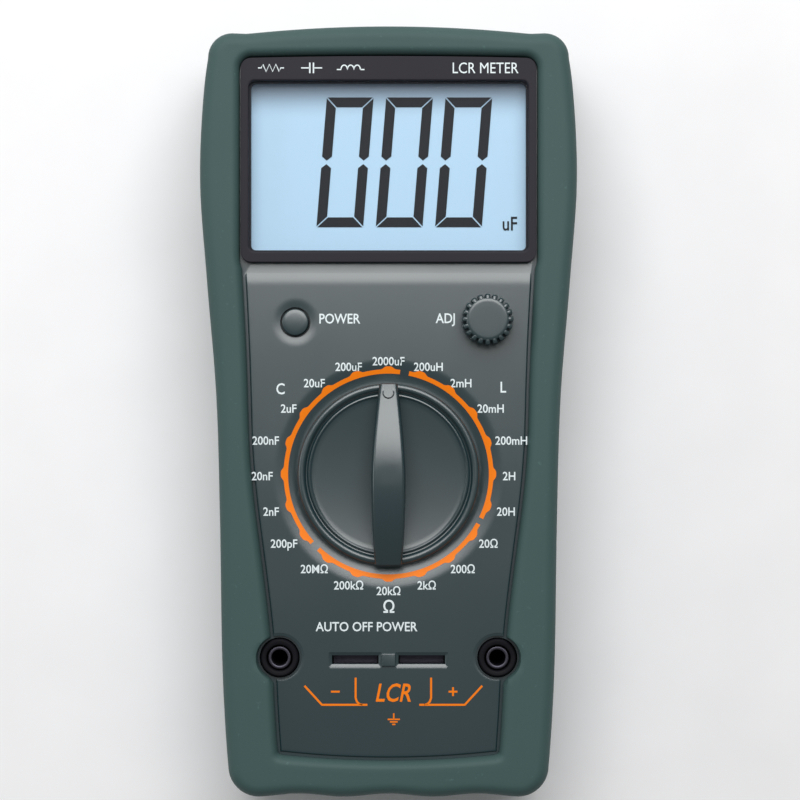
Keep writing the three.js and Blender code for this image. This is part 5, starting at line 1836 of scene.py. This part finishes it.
class TESTER_OT_labels(bpy.types.Operator):
    """Prints the scale and the labels."""

    bl_idname = "tester.labels"
    bl_label = "Labels"

    def execute(self, context):
        panel = in_millimetres(context.scene.tester_panel)
        dial = in_millimetres(context.scene.tester_dial)
        build_labels(panel, dial)
        return {"FINISHED"}


class TESTER_OT_back(bpy.types.Operator):
    """Builds the battery door and the stand."""

    bl_idname = "tester.back"
    bl_label = "Back"

    def execute(self, context):
        build_back(in_millimetres(context.scene.tester_panel))
        return {"FINISHED"}


class TESTER_OT_screws(bpy.types.Operator):
    """Builds the screws."""

    bl_idname = "tester.screws"
    bl_label = "Screws"

    def execute(self, context):
        build_screws()
        return {"FINISHED"}


class TESTER_OT_inside(bpy.types.Operator):
    """Gives the parts inside their materials."""

    bl_idname = "tester.inside"
    bl_label = "Inside"

    def execute(self, context):
        dress_inside()
        return {"FINISHED"}


OPERATORS = (
    TESTER_OT_stage,
    TESTER_OT_holster,
    TESTER_OT_front_case,
    TESTER_OT_display,
    TESTER_OT_dial,
    TESTER_OT_controls,
    TESTER_OT_jacks,
    TESTER_OT_labels,
    TESTER_OT_back,
    TESTER_OT_screws,
    TESTER_OT_inside,
)


class TESTER_PT_sidebar(bpy.types.Panel):
    """Lists the building steps and their settings."""

    bl_label = "Component tester"
    bl_idname = "TESTER_PT_sidebar"
    bl_space_type = "VIEW_3D"
    bl_region_type = "UI"
    bl_category = "Tester"

    def draw(self, context):
        for step in OPERATORS:
            self.layout.operator(step.bl_idname)
        for name, group in SETTINGS:
            box = self.layout.box()
            box.label(text=group.__doc__)
            for field in group.__annotations__:
                box.prop(getattr(context.scene, name), field)


def register():
    for name, group in SETTINGS:
        bpy.utils.register_class(group)
        setattr(bpy.types.Scene, name, bpy.props.PointerProperty(type=group))
    for step in OPERATORS:
        bpy.utils.register_class(step)
    bpy.utils.register_class(TESTER_PT_sidebar)


def unregister():
    bpy.utils.unregister_class(TESTER_PT_sidebar)
    for step in reversed(OPERATORS):
        bpy.utils.unregister_class(step)
    for name, group in reversed(SETTINGS):
        delattr(bpy.types.Scene, name)
        bpy.utils.unregister_class(group)


def main():
    register()
    for step in OPERATORS:
        getattr(bpy.ops.tester, step.bl_idname.split(".")[1])()


if __name__ == "__main__":
    main()
